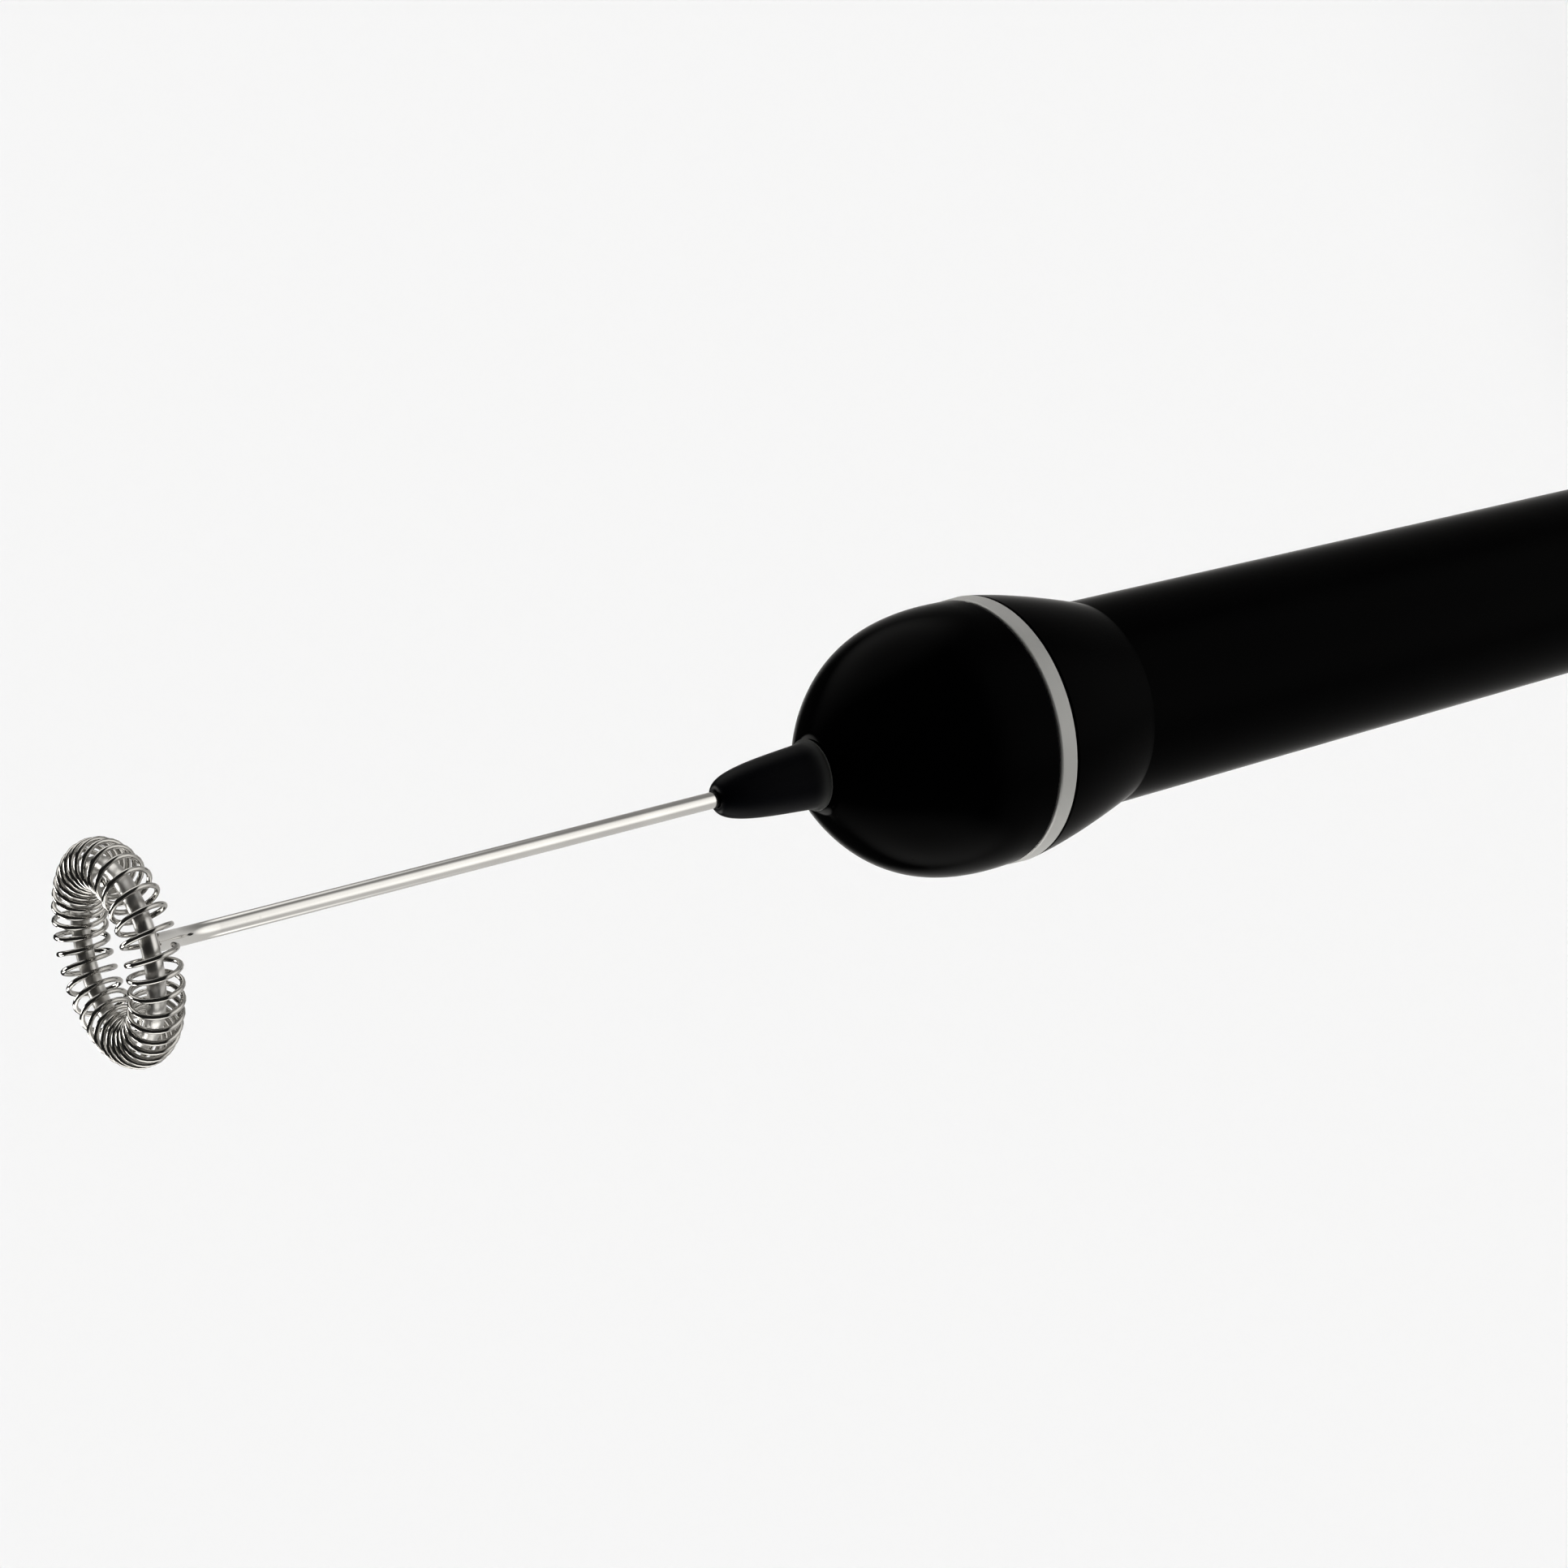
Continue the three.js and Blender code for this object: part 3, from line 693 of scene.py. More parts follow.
@dataclass(frozen=True)
class CellFilm(Moulded):
    """The shrunk film of a cell: a dark wrap, with a lighter collar near the positive end."""

    collar: Colour = (0.45, 0.33, 0.12)
    collar_share: float = 0.72
    pitch: float = 50.8
    first: float = 18.5

    def base(self, graph: Graph, smudge: bpy.types.NodeSocket) -> bpy.types.NodeSocket:
        """The colour of wrap and collar, by height on the cell.

        Args:
            graph: The material's graph.
            smudge: Mask of cloudy smudges.

        Returns:
            The colour's socket.
        """
        above = graph.maths("SUBTRACT", graph.height(), self.first * MM)
        share = graph.maths("FRACT", graph.maths("DIVIDE", above, self.pitch * MM))
        wrapped = graph.blend(smudge, shade(self.colour), shade(self.colour, 1.0 + self.variation))
        in_collar = graph.maths("GREATER_THAN", share, self.collar_share)
        return graph.blend(in_collar, wrapped, shade(self.collar))


FINISHES: dict[str, Finish] = {
    "gloss_black": Moulded(
        "gloss_black_plastic",
        colour=(0.0005, 0.0005, 0.00055),
        roughness=0.10,
        edge_wear_and_highlight_colour=(0.012, 0.012, 0.012),
        specular=0.008,
        bump_depth=0.0005,
        slow=180.0,
        dust=0.2,
    ),
    "satin_black": Moulded(
        "satin_black_plastic",
        colour=(0.0010, 0.0012, 0.0019),
        roughness=0.34,
        edge_wear_and_highlight_colour=(0.02, 0.02, 0.022),
        specular=0.045,
        bump_depth=0.0025,
        fine=5000.0,
    ),
    "nose_black": FlaredFoot(
        "satin_black_plastic",
        colour=(0.0012, 0.0014, 0.0022),
        roughness=0.34,
        edge_wear_and_highlight_colour=(0.02, 0.02, 0.022),
        specular=0.03,
        bump_depth=0.0015,
        fine=5000.0,
    ),
    "silver_paint": Moulded(
        "silver_trim",
        colour=(0.455, 0.455, 0.44),
        roughness=0.42,
        variation=0.05,
        # Painted highlight: the pale edge colour stands for the light that the band's rounded edges catch.
        edge_wear_and_highlight_colour=(0.68, 0.67, 0.64),
        edge_wear_and_highlight_share=0.7,
        edge_width=0.2,
        metallic=0.35,
        bump_depth=0.0015,
        fine=9000.0,
        ripple=0.4,
    ),
    "polished_steel": BrightWire(
        "polished_steel", colour=(0.74, 0.73, 0.71), roughness=0.09, variation=0.04
    ),
    "ring_steel": BrightWire(
        "polished_steel", colour=(0.66, 0.65, 0.63), roughness=0.3, variation=0.06
    ),
    # Painted shade: the same steel as the rod, made darker to stand for the shade that the coil shows.
    "shaded_whisk_wire": BrightWire(
        "polished_steel",
        colour=(0.47, 0.46, 0.44),
        roughness=0.05,
        variation=0.05,
        dust=0.05,
        bump_depth=0.0001,
        across=2500.0,
        along=2500.0,
    ),
    "plated_steel": Lined(
        "plated_steel",
        colour=(0.58, 0.59, 0.60),
        roughness=0.28,
        edge_wear_and_highlight_colour=(0.75, 0.75, 0.75),
        bump_depth=0.001,
        across=900.0,
        along=900.0,
    ),
    "copper": Lined(
        "copper",
        colour=(0.72, 0.31, 0.14),
        roughness=0.26,
        edge_wear_and_highlight_colour=(0.85, 0.45, 0.28),
        bump_depth=0.05,
        across=150.0,
        along=4500.0,
    ),
    "brass": Lined(
        "brass",
        colour=(0.72, 0.55, 0.24),
        roughness=0.24,
        edge_wear_and_highlight_colour=(0.85, 0.72, 0.42),
        bump_depth=0.002,
        across=200.0,
        along=5000.0,
    ),
    "ferrite": Moulded(
        "ferrite",
        colour=(0.045, 0.045, 0.05),
        roughness=0.62,
        variation=0.25,
        edge_wear_and_highlight_colour=(0.14, 0.14, 0.15),
        bump_depth=0.03,
        fine=2500.0,
        slow=400.0,
    ),
    "grey_plastic": Moulded(
        "grey_plastic",
        colour=(0.09, 0.095, 0.10),
        roughness=0.48,
        edge_wear_and_highlight_colour=(0.2, 0.2, 0.21),
        bump_depth=0.006,
    ),
    "white_plastic": Moulded(
        "white_plastic",
        colour=(0.72, 0.71, 0.66),
        roughness=0.42,
        variation=0.05,
        edge_wear_and_highlight_colour=(0.8, 0.8, 0.77),
    ),
    "rubber": Moulded(
        "rubber", colour=(0.012, 0.012, 0.013), roughness=0.7, specular=0.3, bump_depth=0.005, fine=6000.0
    ),
    "red_insulation": Moulded(
        "red_insulation", colour=(0.42, 0.02, 0.015), roughness=0.4, edge_wear_and_highlight_colour=(0.55, 0.1, 0.08)
    ),
    "cell_film": CellFilm(
        "cell_jacket",
        colour=(0.018, 0.028, 0.05),
        roughness=0.22,
        variation=0.3,
        bump_depth=0.004,
        slow=500.0,
    ),
}

# Slots whose finish has another name.
CAD_FINISHES = {
    "cell_jacket": "cell_film",
    "silver_trim": "silver_paint",
    "satin_black_plastic": "satin_black",
    "gloss_black_plastic": "gloss_black",
}


class Workshop:
    """Holds the materials, and hands each piece its finish and its body."""

    def __init__(self) -> None:
        """Builds every finish."""
        effects = Effects()
        self.materials = {name: finish.build(name, effects) for name, finish in FINISHES.items()}

    def fit(self, piece: bpy.types.Object, finish: str, body: Body, *nodes: str) -> bpy.types.Object:
        """Dresses a piece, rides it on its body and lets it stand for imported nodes.

        Args:
            piece: The piece.
            finish: Name of its finish.
            body: The body that carries it.
            nodes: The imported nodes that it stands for.

        Returns:
            The piece.
        """
        piece.data.materials.append(self.materials[finish])
        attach(piece, body.value)
        if nodes:
            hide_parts(*nodes)
        LOG.info("%s: %s, %d faces, on %s", piece.name, finish, len(piece.data.polygons), body.value)
        return piece

    def dress_nodes(self, frame: dict) -> None:
        """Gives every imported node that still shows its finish.
        """
        slots = {part["node"]: part["material_slot"] for part in frame["record"]["subparts"]}
        for name, node in frame["nodes"].items():
            if node.hide_render:
                continue
            finish = CAD_FINISHES.get(slots[name], slots[name])
            node.data.materials.clear()
            node.data.materials.append(self.materials[finish])
            LOG.info("%s: packed node, %s", name, finish)


# ------------------------------------------------------------------ sub-assemblies


@dataclass(frozen=True)
class Whisk:
    """The rod, the ring that it's welded to and the spring wire wound round the ring."""

    ring_z: float = 252.0
    ring_r: float = 9.5
    coil_r: float = 2.7
    wire_r: float = 0.295
    turns: int = 36
    start_degrees: float = -0.4
    end_degrees: float = 357.6
    clear_turns: float = 0.11
    unevenness: float = 0.14
    wide_degrees: float = 20.0
    steps_per_turn: int = 28
    leg_drop: float = 7.5
    turn_out: float = 4.0
    leg_degrees: float = -90.0
    rod_sides: int = 32
    ring_steps: int = 144
    wire_sides: int = 10

    def on_ring(self, degrees: float, radius: float, lift: float = 0.0) -> Vector:
        """A place on the ring's plane.

        Args:
            degrees: Angle round the ring, anticlockwise from the leg.
            radius: Distance from the axis.
            lift: Height above the ring's plane.

        Returns:
            The place in metres.
        """
        angle = math.radians(self.leg_degrees + degrees)
        return Vector((radius * math.cos(angle), radius * math.sin(angle), self.ring_z + lift)) * MM

    def rod_route(self) -> list[Vector]:
        """The rod's centre line, from inside its coupling to the ring that it's welded to.

        Returns:
            Points in metres.
        """
        low = Vector((0.0, 0.0, heights("whisk_rod")[0]))
        corner = Vector((0.0, 0.0, self.ring_z - self.leg_drop))
        foot = self.on_ring(0.0, self.ring_r) / MM
        slant = (foot - corner).normalized()
        places = [
            low,
            *bend(corner - Vector((0.0, 0.0, self.turn_out)), corner, corner + slant * self.turn_out),
            foot,
        ]
        return [place * MM for place in places]

    def coil_route(self) -> list[Vector]:
        """The spring wire's centre line, wound round the ring from one side of the leg to the other.

        Returns:
            Points in metres.
        """
        count = self.turns * self.steps_per_turn
        ends = self.clear_turns / self.turns
        crossing = math.atan2(-self.leg_drop, -self.ring_r)
        lag = 2.0 * math.radians(self.wide_degrees)
        route = []
        # The turns crowd and spread twice round the ring.
        for step in range(count + 1):
            share = ends + (1.0 - 2.0 * ends) * step / count
            wind = crossing - FULL_TURN * self.turns * share
            wave = math.sin(2.0 * FULL_TURN * share - lag) + math.sin(lag)
            drift = self.unevenness / (2.0 * FULL_TURN) * wave
            degrees = self.start_degrees + (self.end_degrees - self.start_degrees) * (share + drift)
            radius = self.ring_r + self.coil_r * math.cos(wind)
            route.append(self.on_ring(degrees, radius, self.coil_r * math.sin(wind)))
        return route

    def build(self, workshop: Workshop) -> None:
        """Makes the rod, its ring and the coil.

        Args:
            workshop: Dresses each piece.
        """
        rod_r = reach("motor_shaft")
        rod = swept("rod_wire", self.rod_route(), rod_r, self.rod_sides)
        workshop.fit(rod, "polished_steel", Body.WHISK, "whisk_rod")
        section = round_section(self.ring_r, self.ring_z, rod_r, self.rod_sides)
        workshop.fit(spun("ring_wire", section, self.ring_steps), "ring_steel", Body.WHISK)
        coil = swept("coil_wire", self.coil_route(), self.wire_r, self.wire_sides)
        workshop.fit(coil, "shaded_whisk_wire", Body.WHISK, "whisk_coil")


@dataclass(frozen=True)
class Nose:
    """The slim satin nose that the rod comes out of."""

    bead_r: float = 4.45
    bead_edge: float = 0.05
    bead_edge_rise: float = 0.06
    bead_rise: float = 0.2
    hollow: float = 0.05
    hollow_rise: float = 0.3
    neck_r: float = 4.05
    neck_rise: float = 1.2
    neck_ease: float = 0.02
    neck_drop: float = 0.1
    waist_r: float = 3.65
    waist_rise: float = 5.0
    brow_r: float = 3.35
    brow_drop: float = 0.1
    lip_r: float = 1.08
    lip_width: float = 0.2
    lip_round: float = 0.08
    bore_r: float = 2.45
    spigot_r: float = 3.55
    spigot_depth: float = 2.6
    guide_z: float = 172.9
    sides: int = 96

    def build(self, workshop: Workshop) -> None:
        """Makes the nose, with the slim bead where it meets the dome.

        Args:
            workshop: Dresses each piece.
        """
        low, tip = heights("nose_cone")
        base = low + self.spigot_depth
        neck = base + self.neck_rise
        bead = bend(
            (self.bead_r, base + self.bead_rise),
            (self.neck_r + self.hollow, base + self.hollow_rise),
            (self.neck_r + self.neck_ease, neck - self.neck_drop),
            steps=8,
        )
        side = curve(
            (self.neck_r, neck),
            (self.waist_r, neck + self.waist_rise),
            (self.brow_r, tip - self.brow_drop),
            (self.lip_r + self.lip_width, tip),
            steps=28,
        )
        lip = bend(
            (self.lip_r + self.lip_round, tip),
            (self.lip_r, tip),
            (self.lip_r, tip - self.lip_round),
            steps=6,
        )
        points = [
            (self.bore_r, low),
            (self.spigot_r, low),
            (self.spigot_r, base),
            (self.bead_r - self.bead_edge, base),
            (self.bead_r, base + self.bead_edge_rise),
            *bead,
            *side,
            *lip,
            (self.lip_r, self.guide_z),
            (self.bore_r, self.guide_z),
        ]
        nose = spun("nose_shell", points, self.sides)
        workshop.fit(nose, "nose_black", Body.HOUSING, "nose_cone")


@dataclass(frozen=True)
class Housing:
    """The egg's two halves, the silver band between them and the tube handle."""

    wall: float = 1.8
    dome_edge_r: float = 16.88
    dome_edge_round: float = 0.18
    dome_gap: float = 0.25
    dome_swell: float = 0.06
    dome_swell_z: float = 140.0
    dome_lead_z: float = 150.0
    dome_brow: tuple[float, float] = (13.75, 155.5)
    dome_top_r: float = 4.6
    lining_top: float = 0.4
    lining_brow: tuple[float, float] = (11.8, 152.8)
    lining_lead_z: float = 148.5
    lining_low_z: float = 142.0
    lining_root_z: float = 139.5
    seat_r: float = 3.85
    seat_depth: float = 2.4
    spigot_r: float = 15.3
    spigot_bore_r: float = 14.0
    spigot_round: float = 0.3
    band_bore_r: float = 15.6
    band_round: float = 0.28
    band_taper: float = 0.1
    bulb_r: float = 16.95
    bulb_round: float = 0.15
    bulb_corner: tuple[float, float] = (16.1, 128.1)
    crease_r: float = 13.33
    crease_z: float = 119.0
    crease_dip: float = 0.04
    crease_drop: float = 0.25
    tube_r: float = 12.76
    tube_bore_r: float = 11.2
    tube_round: float = 0.25
    tube_bore_round: float = 0.3
    spigot_gap: float = 0.3
    shoulder_r: float = 12.7
    shoulder_z: float = 120.7
    shoulder_bevel: tuple[float, float] = (1.2, 1.7)
    shoulder_high_z: float = 124.0
    sides: int = 160

    def dome(self) -> bpy.types.Object:
        """Makes the front half of the egg, with its spigot inside the band.

        Returns:
            The new object.
        """
        low, top = heights("dome_housing")
        edge = heights("trim_band")[1] + self.dome_gap
        swell_r = self.dome_edge_r + self.dome_swell
        swell = (swell_r, self.dome_swell_z)
        lead = (swell_r, self.dome_lead_z)
        outer = curve(swell, lead, self.dome_brow, (self.dome_top_r, top), steps=40)
        inner_r = self.dome_edge_r - self.wall
        seat = top - self.seat_depth
        inner = curve(
            (self.dome_top_r + self.lining_top, seat),
            self.lining_brow,
            (inner_r, self.lining_lead_z),
            (inner_r, self.lining_low_z),
        )
        rounding = outline(
            (self.spigot_bore_r, low, self.spigot_round),
            (self.spigot_r, low, self.spigot_round),
            (self.spigot_r, edge),
            (self.dome_edge_r, edge, self.dome_edge_round),
            swell,
        )
        points = [*rounding, *outer[1:], (self.seat_r, top), (self.seat_r, seat), *inner]
        points.append((self.spigot_bore_r, self.lining_root_z))
        return spun("dome_shell", points, self.sides)

    def band(self) -> bpy.types.Object:
        """Makes the silver band.

        Returns:
            The new object.
        """
        low, high = heights("trim_band")
        wide = reach("trim_band")
        points = outline(
            (self.band_bore_r, low),
            (wide, low, self.band_round),
            (wide - self.band_taper, high, self.band_round),
            (self.band_bore_r, high),
        )
        return spun("silver_band", points, self.sides)

    def handle(self) -> bpy.types.Object:
        """Makes the rear half of the egg with its tube.

        Returns:
            The new object.
        """
        low, high = heights("handle_housing")
        step_z = heights("dome_housing")[0] - self.spigot_gap
        crease = (self.crease_r, self.crease_z)
        bulb = bend(crease, self.bulb_corner, (self.bulb_r, high - self.bulb_round), steps=28)
        tube = outline(
            (self.tube_bore_r, low, self.tube_bore_round),
            (self.tube_r, low, self.tube_round),
            (self.crease_r - self.crease_dip, self.crease_z - self.crease_drop),
            crease,
        )
        bevel_r, bevel_z = self.shoulder_bevel
        points = [
            *tube[:-1],
            *bulb,
            (self.bulb_r - self.bulb_round, high),
            (self.band_bore_r, high),
            (self.band_bore_r, step_z),
            (self.shoulder_r + bevel_r, step_z - bevel_z),
            (self.shoulder_r, self.shoulder_high_z),
            (self.shoulder_r, self.shoulder_z),
            (self.tube_bore_r, self.shoulder_z),
        ]
        return spun("handle_shell", points, self.sides)

    def build(self, workshop: Workshop) -> None:
        """Makes the dome, the band and the handle.

        Args:
            workshop: Dresses each piece.
        """
        workshop.fit(self.dome(), "gloss_black", Body.HOUSING, "dome_housing")
        workshop.fit(self.band(), "silver_paint", Body.HOUSING, "trim_band")
        workshop.fit(self.handle(), "gloss_black", Body.HOUSING, "handle_housing")


@dataclass(frozen=True)
class EndCap:
    """The pull-off cap, its seal, its contact ring and its two coil springs."""

    radius: float = 12.66
    top: float = 19.7
    recess_r: float = 8.2
    recess_z: float = 2.2
    floor_z: float = 4.2
    hole_r: float = 5.0
    lower_bore_r: float = 8.3
    ledge_z: float = 10.7
    upper_bore_r: float = 9.1
    spigot_r: float = 10.9
    seal_z: float = 22.4
    seal_r: float = 10.4
    seal_section_r: float = 0.55
    groove_half: float = 0.85
    groove_r: float = 9.7
    recess_round: float = 0.35
    foot_round: float = 1.4
    seam_round: float = 0.25
    groove_round: float = 0.1
    spigot_round: float = 0.4
    edge_round: float = 0.3
    hole_round: float = 0.15
    contact_bore_r: float = 7.9
    contact_r: float = 10.6
    contact_low_round: float = 0.1
    contact_high_round: float = 0.15
    sides: int = 128
    fitting_sides: int = 96

    def cap(self) -> bpy.types.Object:
        """Makes the cap, with its recess, its seat in the handle and its seal's groove.

        Returns:
            The new object.
        """
        spigot_z = heights("end_cap")[1]
        groove_low = self.seal_z - self.groove_half
        groove_high = self.seal_z + self.groove_half
        points = outline(
            (self.recess_r, 0.0, self.recess_round),
            (self.radius, 0.0, self.foot_round),
            (self.radius, self.top, self.seam_round),
            (self.spigot_r, self.top),
            (self.spigot_r, groove_low, self.groove_round),
            (self.groove_r, groove_low),
            (self.groove_r, groove_high),
            (self.spigot_r, groove_high, self.groove_round),
            (self.spigot_r, spigot_z, self.spigot_round),
            (self.upper_bore_r, spigot_z, self.edge_round),
            (self.upper_bore_r, self.ledge_z),
            (self.lower_bore_r, self.ledge_z),
            (self.lower_bore_r, self.floor_z),
            (self.hole_r, self.floor_z, self.hole_round),
            (self.hole_r, self.recess_z, self.edge_round),
            (self.recess_r, self.recess_z, self.edge_round),
        )
        return spun("cap_shell", points, self.sides)

    def seal(self) -> bpy.types.Object:
        """Makes the rubber seal.

        Returns:
            The new object.
        """
        section = round_section(self.seal_r, self.seal_z, self.seal_section_r, sides=20)
        return spun("seal_ring", section, self.fitting_sides)

    def contact_ring(self) -> bpy.types.Object:
        """Makes the flat contact ring on the end of the cap's spigot.

        Returns:
            The new object.
        """
        low, high = heights("cap_contact_ring")
        points = outline(
            (self.contact_bore_r, low, self.contact_low_round),
            (self.contact_r, low, self.contact_low_round),
            (self.contact_r, high, self.contact_high_round),
            (self.contact_bore_r, high, self.contact_high_round),
        )
        return spun("contact_ring", points, self.fitting_sides)

    def build(self, workshop: Workshop) -> None:
        """Makes the cap, its seal, its contact ring and its two springs.

        Args:
            workshop: Dresses each piece.
        """
        workshop.fit(self.cap(), "gloss_black", Body.CAP, "end_cap")
        workshop.fit(self.seal(), "rubber", Body.CAP, "cap_o_ring")
        workshop.fit(self.contact_ring(), "plated_steel", Body.CAP, "cap_contact_ring")
        cell_spring = Spring(
            "cell_coil", low_r=5.0, high_r=3.2, low_z=13.3, high_z=17.8, turns=4, wire_r=0.4
        )
        workshop.fit(cell_spring.make(), "plated_steel", Body.CAP, "cell_spring")
        return_spring = Spring(
            "return_coil", low_r=4.2, high_r=4.2, low_z=6.3, high_z=10.4, turns=4, wire_r=0.3
        )
        coil = workshop.fit(return_spring.make(), "plated_steel", Body.CAP, "button_spring")
        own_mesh(coil)


@dataclass(frozen=True)
class Spring:
    """A wire spring about the axis, whose radius may change along its height."""

    name: str
    low_r: float
    high_r: float
    low_z: float
    high_z: float
    turns: int
    wire_r: float
    steps_per_turn: int = 40
    wire_sides: int = 12

    def make(self) -> bpy.types.Object:
        """Makes the spring.

        Returns:
            The new object.
        """
        count = self.turns * self.steps_per_turn
        route = []
        for step in range(count + 1):
            share = step / count
            angle = FULL_TURN * self.turns * share
            radius = self.low_r + (self.high_r - self.low_r) * share
            height = self.low_z + (self.high_z - self.low_z) * share
            route.append(Vector((radius * math.cos(angle), radius * math.sin(angle), height)) * MM)
        return swept(self.name, route, self.wire_r, self.wire_sides)


@dataclass(frozen=True)
class PushButton:
    """The recessed push button, with a shallow dish for the fingertip."""

    radius: float = 4.7
    flange_r: float = 6.2
    flange_z: float = 4.5
    flange_top: float = 5.7
    boss_r: float = 2.6
    dish_r: float = 3.7
    dish_depth: float = 0.35
    dish_flat_r: float = 1.6
    dish_lead_r: float = 2.8
    face_round: float = 0.45
    flange_round: float = 0.2
    boss_round: float = 0.3
    sides: int = 96

    def build(self, workshop: Workshop) -> None:
        """Makes the button.

        Args:
            workshop: Dresses each piece.
        """
        face, boss_z = heights("push_button")
        bottom = face + self.dish_depth
        dish = curve(
            (0.0, bottom),
            (self.dish_flat_r, bottom),
            (self.dish_lead_r, face),
            (self.dish_r, face),
            steps=12,
        )
        body = outline(
            (self.dish_r, face),
            (self.radius, face, self.face_round),
            (self.radius, self.flange_z),
            (self.flange_r, self.flange_z, self.flange_round),
            (self.flange_r, self.flange_top, self.flange_round),
            (self.boss_r, self.flange_top),
            (self.boss_r, boss_z, self.boss_round),
            (0.0, boss_z),
        )
        button = spun("button_top", [*dish, *body[1:]], self.sides)
        workshop.fit(button, "satin_black", Body.BUTTON, "push_button")


@dataclass(frozen=True)
class Cell:
    """One cell: a film-wrapped can with a crimped base and a positive nub."""

    name: str
    node: str
    radius: float = 7.25
    nub_r: float = 2.75
    nub_height: float = 1.5
    nub_foot: float = 0.6
    nub_foot_rise: float = 0.2
    film_lip: float = 6.6
    lip_step: float = 0.1
    lip_depth: float = 0.15
    metal_edge: float = 0.05
    base_r: float = 5.2
    base_dent: float = 0.25
    crimp_r: float = 5.6
    dent_round: float = 0.4
    crimp_round: float = 0.3
    heel_round: float = 0.2
    foot_round: float = 0.6
    shoulder_round: float = 0.7
    lip_round: float = 0.1
    nub_foot_round: float = 0.5
    nub_round: float = 0.2
    nub_top_round: float = 0.3
    sides: int = 96

    def build(self, workshop: Workshop) -> None:
        """Makes the cell, with bare metal inside the film's lips.

        Args:
            workshop: Dresses each piece.
        """
        low, top = heights(self.node)
        shoulder = top - self.nub_height
        points = outline(
            (0.0, low + self.base_dent),
            (self.base_r, low + self.base_dent, self.dent_round),
            (self.crimp_r, low, self.crimp_round),
            (self.film_lip, low, self.heel_round),
            (self.radius, low, self.foot_round),
            (self.radius, shoulder, self.shoulder_round),
            (self.film_lip, shoulder, self.lip_round),
            (self.film_lip - self.lip_step, shoulder - self.lip_depth),
            (self.nub_r + self.nub_foot, shoulder - self.lip_depth, self.nub_foot_round),
            (self.nub_r, shoulder + self.nub_foot_rise, self.nub_round),
            (self.nub_r, top, self.nub_top_round),
            (0.0, top),
        )
        cell = spun(self.name, points, self.sides)
        workshop.fit(cell, "cell_film", Body.HOUSING, self.node)
        cell.data.materials.append(workshop.materials["plated_steel"])
        for face in cell.data.polygons:
            centre = face.center
            if math.hypot(centre.x, centre.y) / MM < self.film_lip - self.metal_edge:
                face.material_index = 1


# ------------------------------------------------------------------ studio


@dataclass(frozen=True)
class Softbox:
    """A soft patch of light in the surroundings.

    Azimuth 0 is towards -Y and 90 towards +X. The patch is full inside the inner angle and fades
    out at the outer one.
    """

    azimuth: float
    elevation: float
    inner: float
    outer: float
    strength: float

    def direction(self) -> Vector:
        """The way towards the patch's middle.

        Returns:
            A unit vector.
        """
        azimuth, elevation = math.radians(self.azimuth), math.radians(self.elevation)
        flat = math.cos(elevation)
        return Vector((flat * math.sin(azimuth), -flat * math.cos(azimuth), math.sin(elevation)))

    def light(self, graph: Graph, way: bpy.types.NodeSocket) -> bpy.types.NodeSocket:
        """The patch's light.

        Args:
            graph: The surroundings' graph.
            way: Direction that is looked in.

        Returns:
            The strength's socket.
        """
        facing = graph.add("VectorMath", operation="DOT_PRODUCT")
        graph.feed(facing.inputs[0], way)
        graph.feed(facing.inputs[1], self.direction())
        full, none = math.cos(math.radians(self.inner)), math.cos(math.radians(self.outer))
        return graph.ease(facing.outputs["Value"], low=none, high=full, end=self.strength)


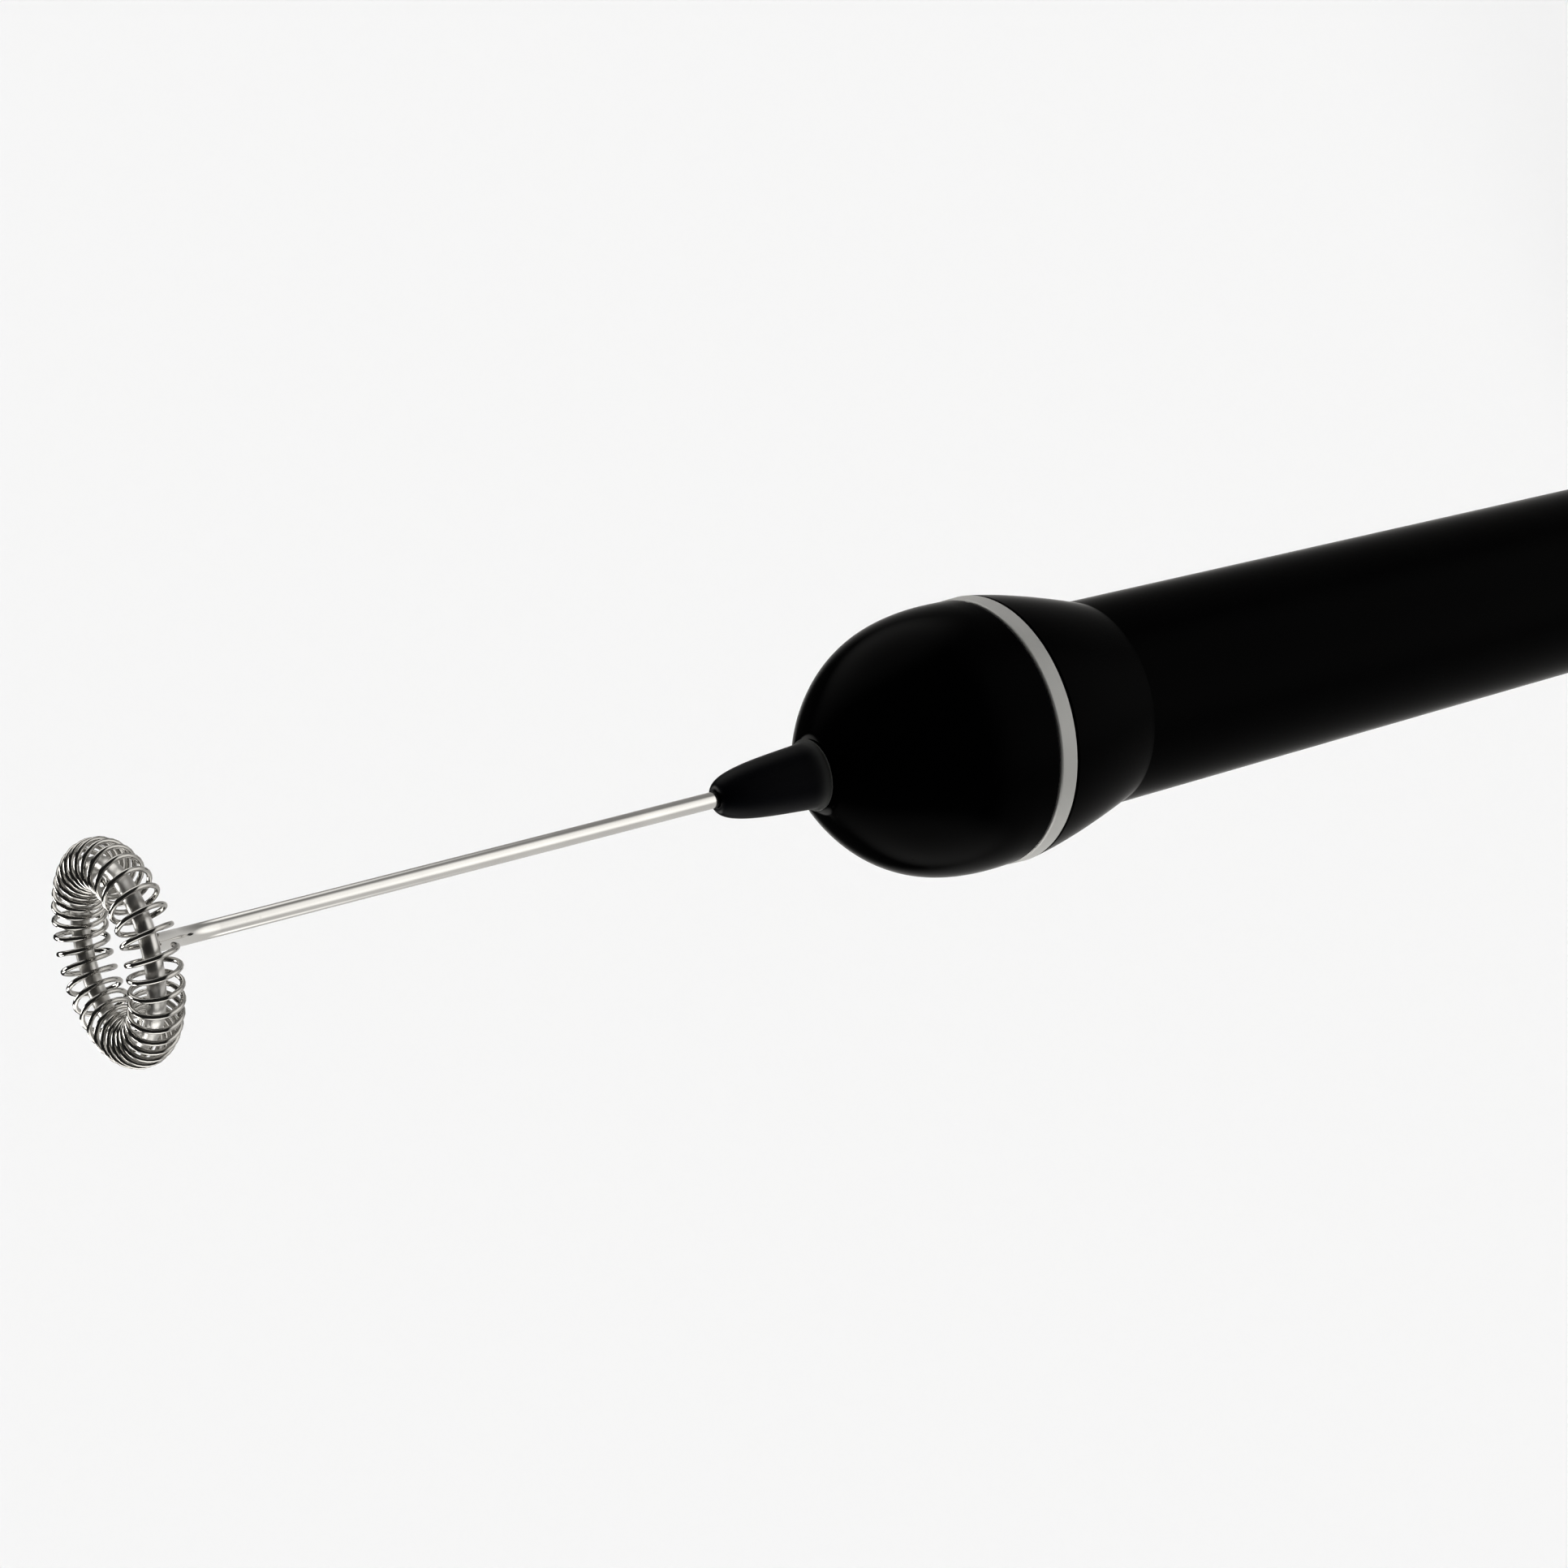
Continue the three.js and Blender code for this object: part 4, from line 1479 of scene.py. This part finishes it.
@dataclass(frozen=True)
class Studio:
    """A plain pale floor and backdrop, and soft light all round."""

    floor_half: float = 4.0
    floor_colour: Colour = (0.9, 0.907, 0.923)
    floor_variation: float = 0.002
    backdrop: float = 0.94
    dim: float = 0.02
    table_glow: float = 0.25
    table_top: float = -0.20
    table_full: float = -0.45
    warmth: Colour = (1.0, 0.985, 0.955)
    sun_strength: float = 1.4
    sun_elevation: float = 62.0
    sun_spread: float = 30.0
    table_lights: tuple[Softbox, ...] = (
        Softbox(azimuth=8, elevation=-33, inner=12, outer=50, strength=0.95),
        Softbox(azimuth=-108, elevation=-30, inner=55, outer=105, strength=0.38),
    )
    room_lights: tuple[Softbox, ...] = (
        Softbox(azimuth=-102, elevation=8, inner=14, outer=40, strength=2.5),
        Softbox(azimuth=106, elevation=2, inner=12, outer=38, strength=1.6),
        Softbox(azimuth=160, elevation=36, inner=7, outer=16, strength=11.0),
        Softbox(azimuth=-152, elevation=24, inner=6, outer=14, strength=11.0),
    )

    def floor(self) -> None:
        """Lays the floor. It is seen by the camera and lights the frother, but isn't mirrored in it."""
        bm = bmesh.new()
        bmesh.ops.create_grid(bm, x_segments=1, y_segments=1, size=self.floor_half)
        floor = object_from("floor", bm)
        floor.visible_glossy = False
        floor.visible_shadow = False
        material = bpy.data.materials.new("floor_paper")
        material.use_nodes = True
        graph = Graph(material.node_tree)
        tone = graph.add("TexNoise", {"Vector": graph.place(), "Scale": 400.0, "Detail": 4.0})
        low = shade(self.floor_colour, 1.0 - self.floor_variation)
        high = shade(self.floor_colour, 1.0 + self.floor_variation)
        colour = graph.blend(tone.outputs[0], low, high)
        above = graph.maths("SUBTRACT", 1.0, graph.add("NewGeometry").outputs["Backfacing"])
        shader = graph.add(
            "BsdfPrincipled",
            {"Base Color": colour, "Roughness": 0.9, "Specular IOR Level": 0.0, "Alpha": above},
        )
        graph.add("OutputMaterial", {"Surface": shader.outputs["BSDF"]})
        floor.data.materials.append(material)

    def surroundings(self) -> None:
        """Makes the soft light all round. The camera itself sees a plain pale backdrop."""
        world = bpy.data.worlds.new("studio")
        bpy.context.scene.world = world
        world.use_nodes = True
        graph = Graph(world.node_tree)
        way = graph.add("TexCoord").outputs["Generated"]
        table: object = self.table_glow
        for softbox in self.table_lights:
            table = graph.maths("ADD", table, softbox.light(graph, way))
        height = graph.add("SeparateXYZ", {"Vector": way}).outputs["Z"]
        below = graph.ease(height, low=self.table_top, high=self.table_full)
        total = graph.maths("MULTIPLY_ADD", table, below)
        graph.feed(total.node.inputs[2], self.dim)
        for softbox in self.room_lights:
            total = graph.maths("ADD", total, softbox.light(graph, way))
        lights = graph.add("Background", {"Color": shade(self.warmth), "Strength": total})
        backdrop = graph.add("Background", {"Color": (1.0, 1.0, 1.0, 1.0), "Strength": self.backdrop})
        seen = graph.add("LightPath").outputs["Is Camera Ray"]
        mixed = graph.add("MixShader", {"Fac": seen})
        graph.feed(mixed.inputs[1], lights.outputs[0])
        graph.feed(mixed.inputs[2], backdrop.outputs[0])
        graph.add("OutputWorld", {"Surface": mixed.outputs[0]})

    def sun(self) -> None:
        """Hangs a wide soft sun behind the frother, for an even floor."""
        light = bpy.data.lights.new("soft_sun", "SUN")
        light.energy = self.sun_strength
        light.angle = math.radians(self.sun_spread)
        lamp = bpy.data.objects.new("soft_sun", light)
        lamp.rotation_euler = (math.radians(self.sun_elevation - 90.0), 0.0, 0.0)
        lamp.visible_glossy = False
        bpy.context.scene.collection.objects.link(lamp)

    def build(self) -> None:
        """Sets up floor, light and colour handling."""
        self.floor()
        self.surroundings()
        self.sun()
        bpy.context.scene.view_settings.view_transform = "Standard"


@dataclass(frozen=True)
class Camera:
    """The camera: from the whisk's side and a little above, with the frother lying across the view."""

    aim: tuple[float, float, float] = (-0.25, 0.0, 166.3)
    distance: float = 370.7
    elevation: float = 32.84
    roll: float = -104.43
    lens: float = 71.09
    sensor: float = 36.0
    nearest: float = 0.01
    farthest: float = 50.0

    def build(self) -> None:
        """Places the camera."""
        data = bpy.data.cameras.new("camera")
        data.lens = self.lens
        data.sensor_width = self.sensor
        data.clip_start = self.nearest
        data.clip_end = self.farthest
        camera = bpy.data.objects.new("camera", data)
        rise = math.radians(self.elevation)
        back = Vector((0.0, -math.cos(rise), math.sin(rise)))
        turn = Matrix.Rotation(math.radians(90.0 - self.elevation), 4, "X")
        roll = Matrix.Rotation(math.radians(self.roll), 4, "Z")
        place = Matrix.Translation((Vector(self.aim) + back * self.distance) * MM)
        camera.matrix_world = place @ turn @ roll
        bpy.context.scene.collection.objects.link(camera)
        bpy.context.scene.camera = camera


def main() -> None:
    """Builds the frother's pieces and the studio in order."""
    logging.basicConfig(level=logging.INFO, format="%(message)s")
    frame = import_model()
    Camera().build()
    workshop = Workshop()
    Whisk().build(workshop)
    Nose().build(workshop)
    Housing().build(workshop)
    EndCap().build(workshop)
    PushButton().build(workshop)
    for name, node in (("rear_cell", "battery_rear"), ("front_cell", "battery_front")):
        Cell(name, node).build(workshop)
    workshop.dress_nodes(frame)
    Studio().build()


if __name__ == "__main__":
    main()
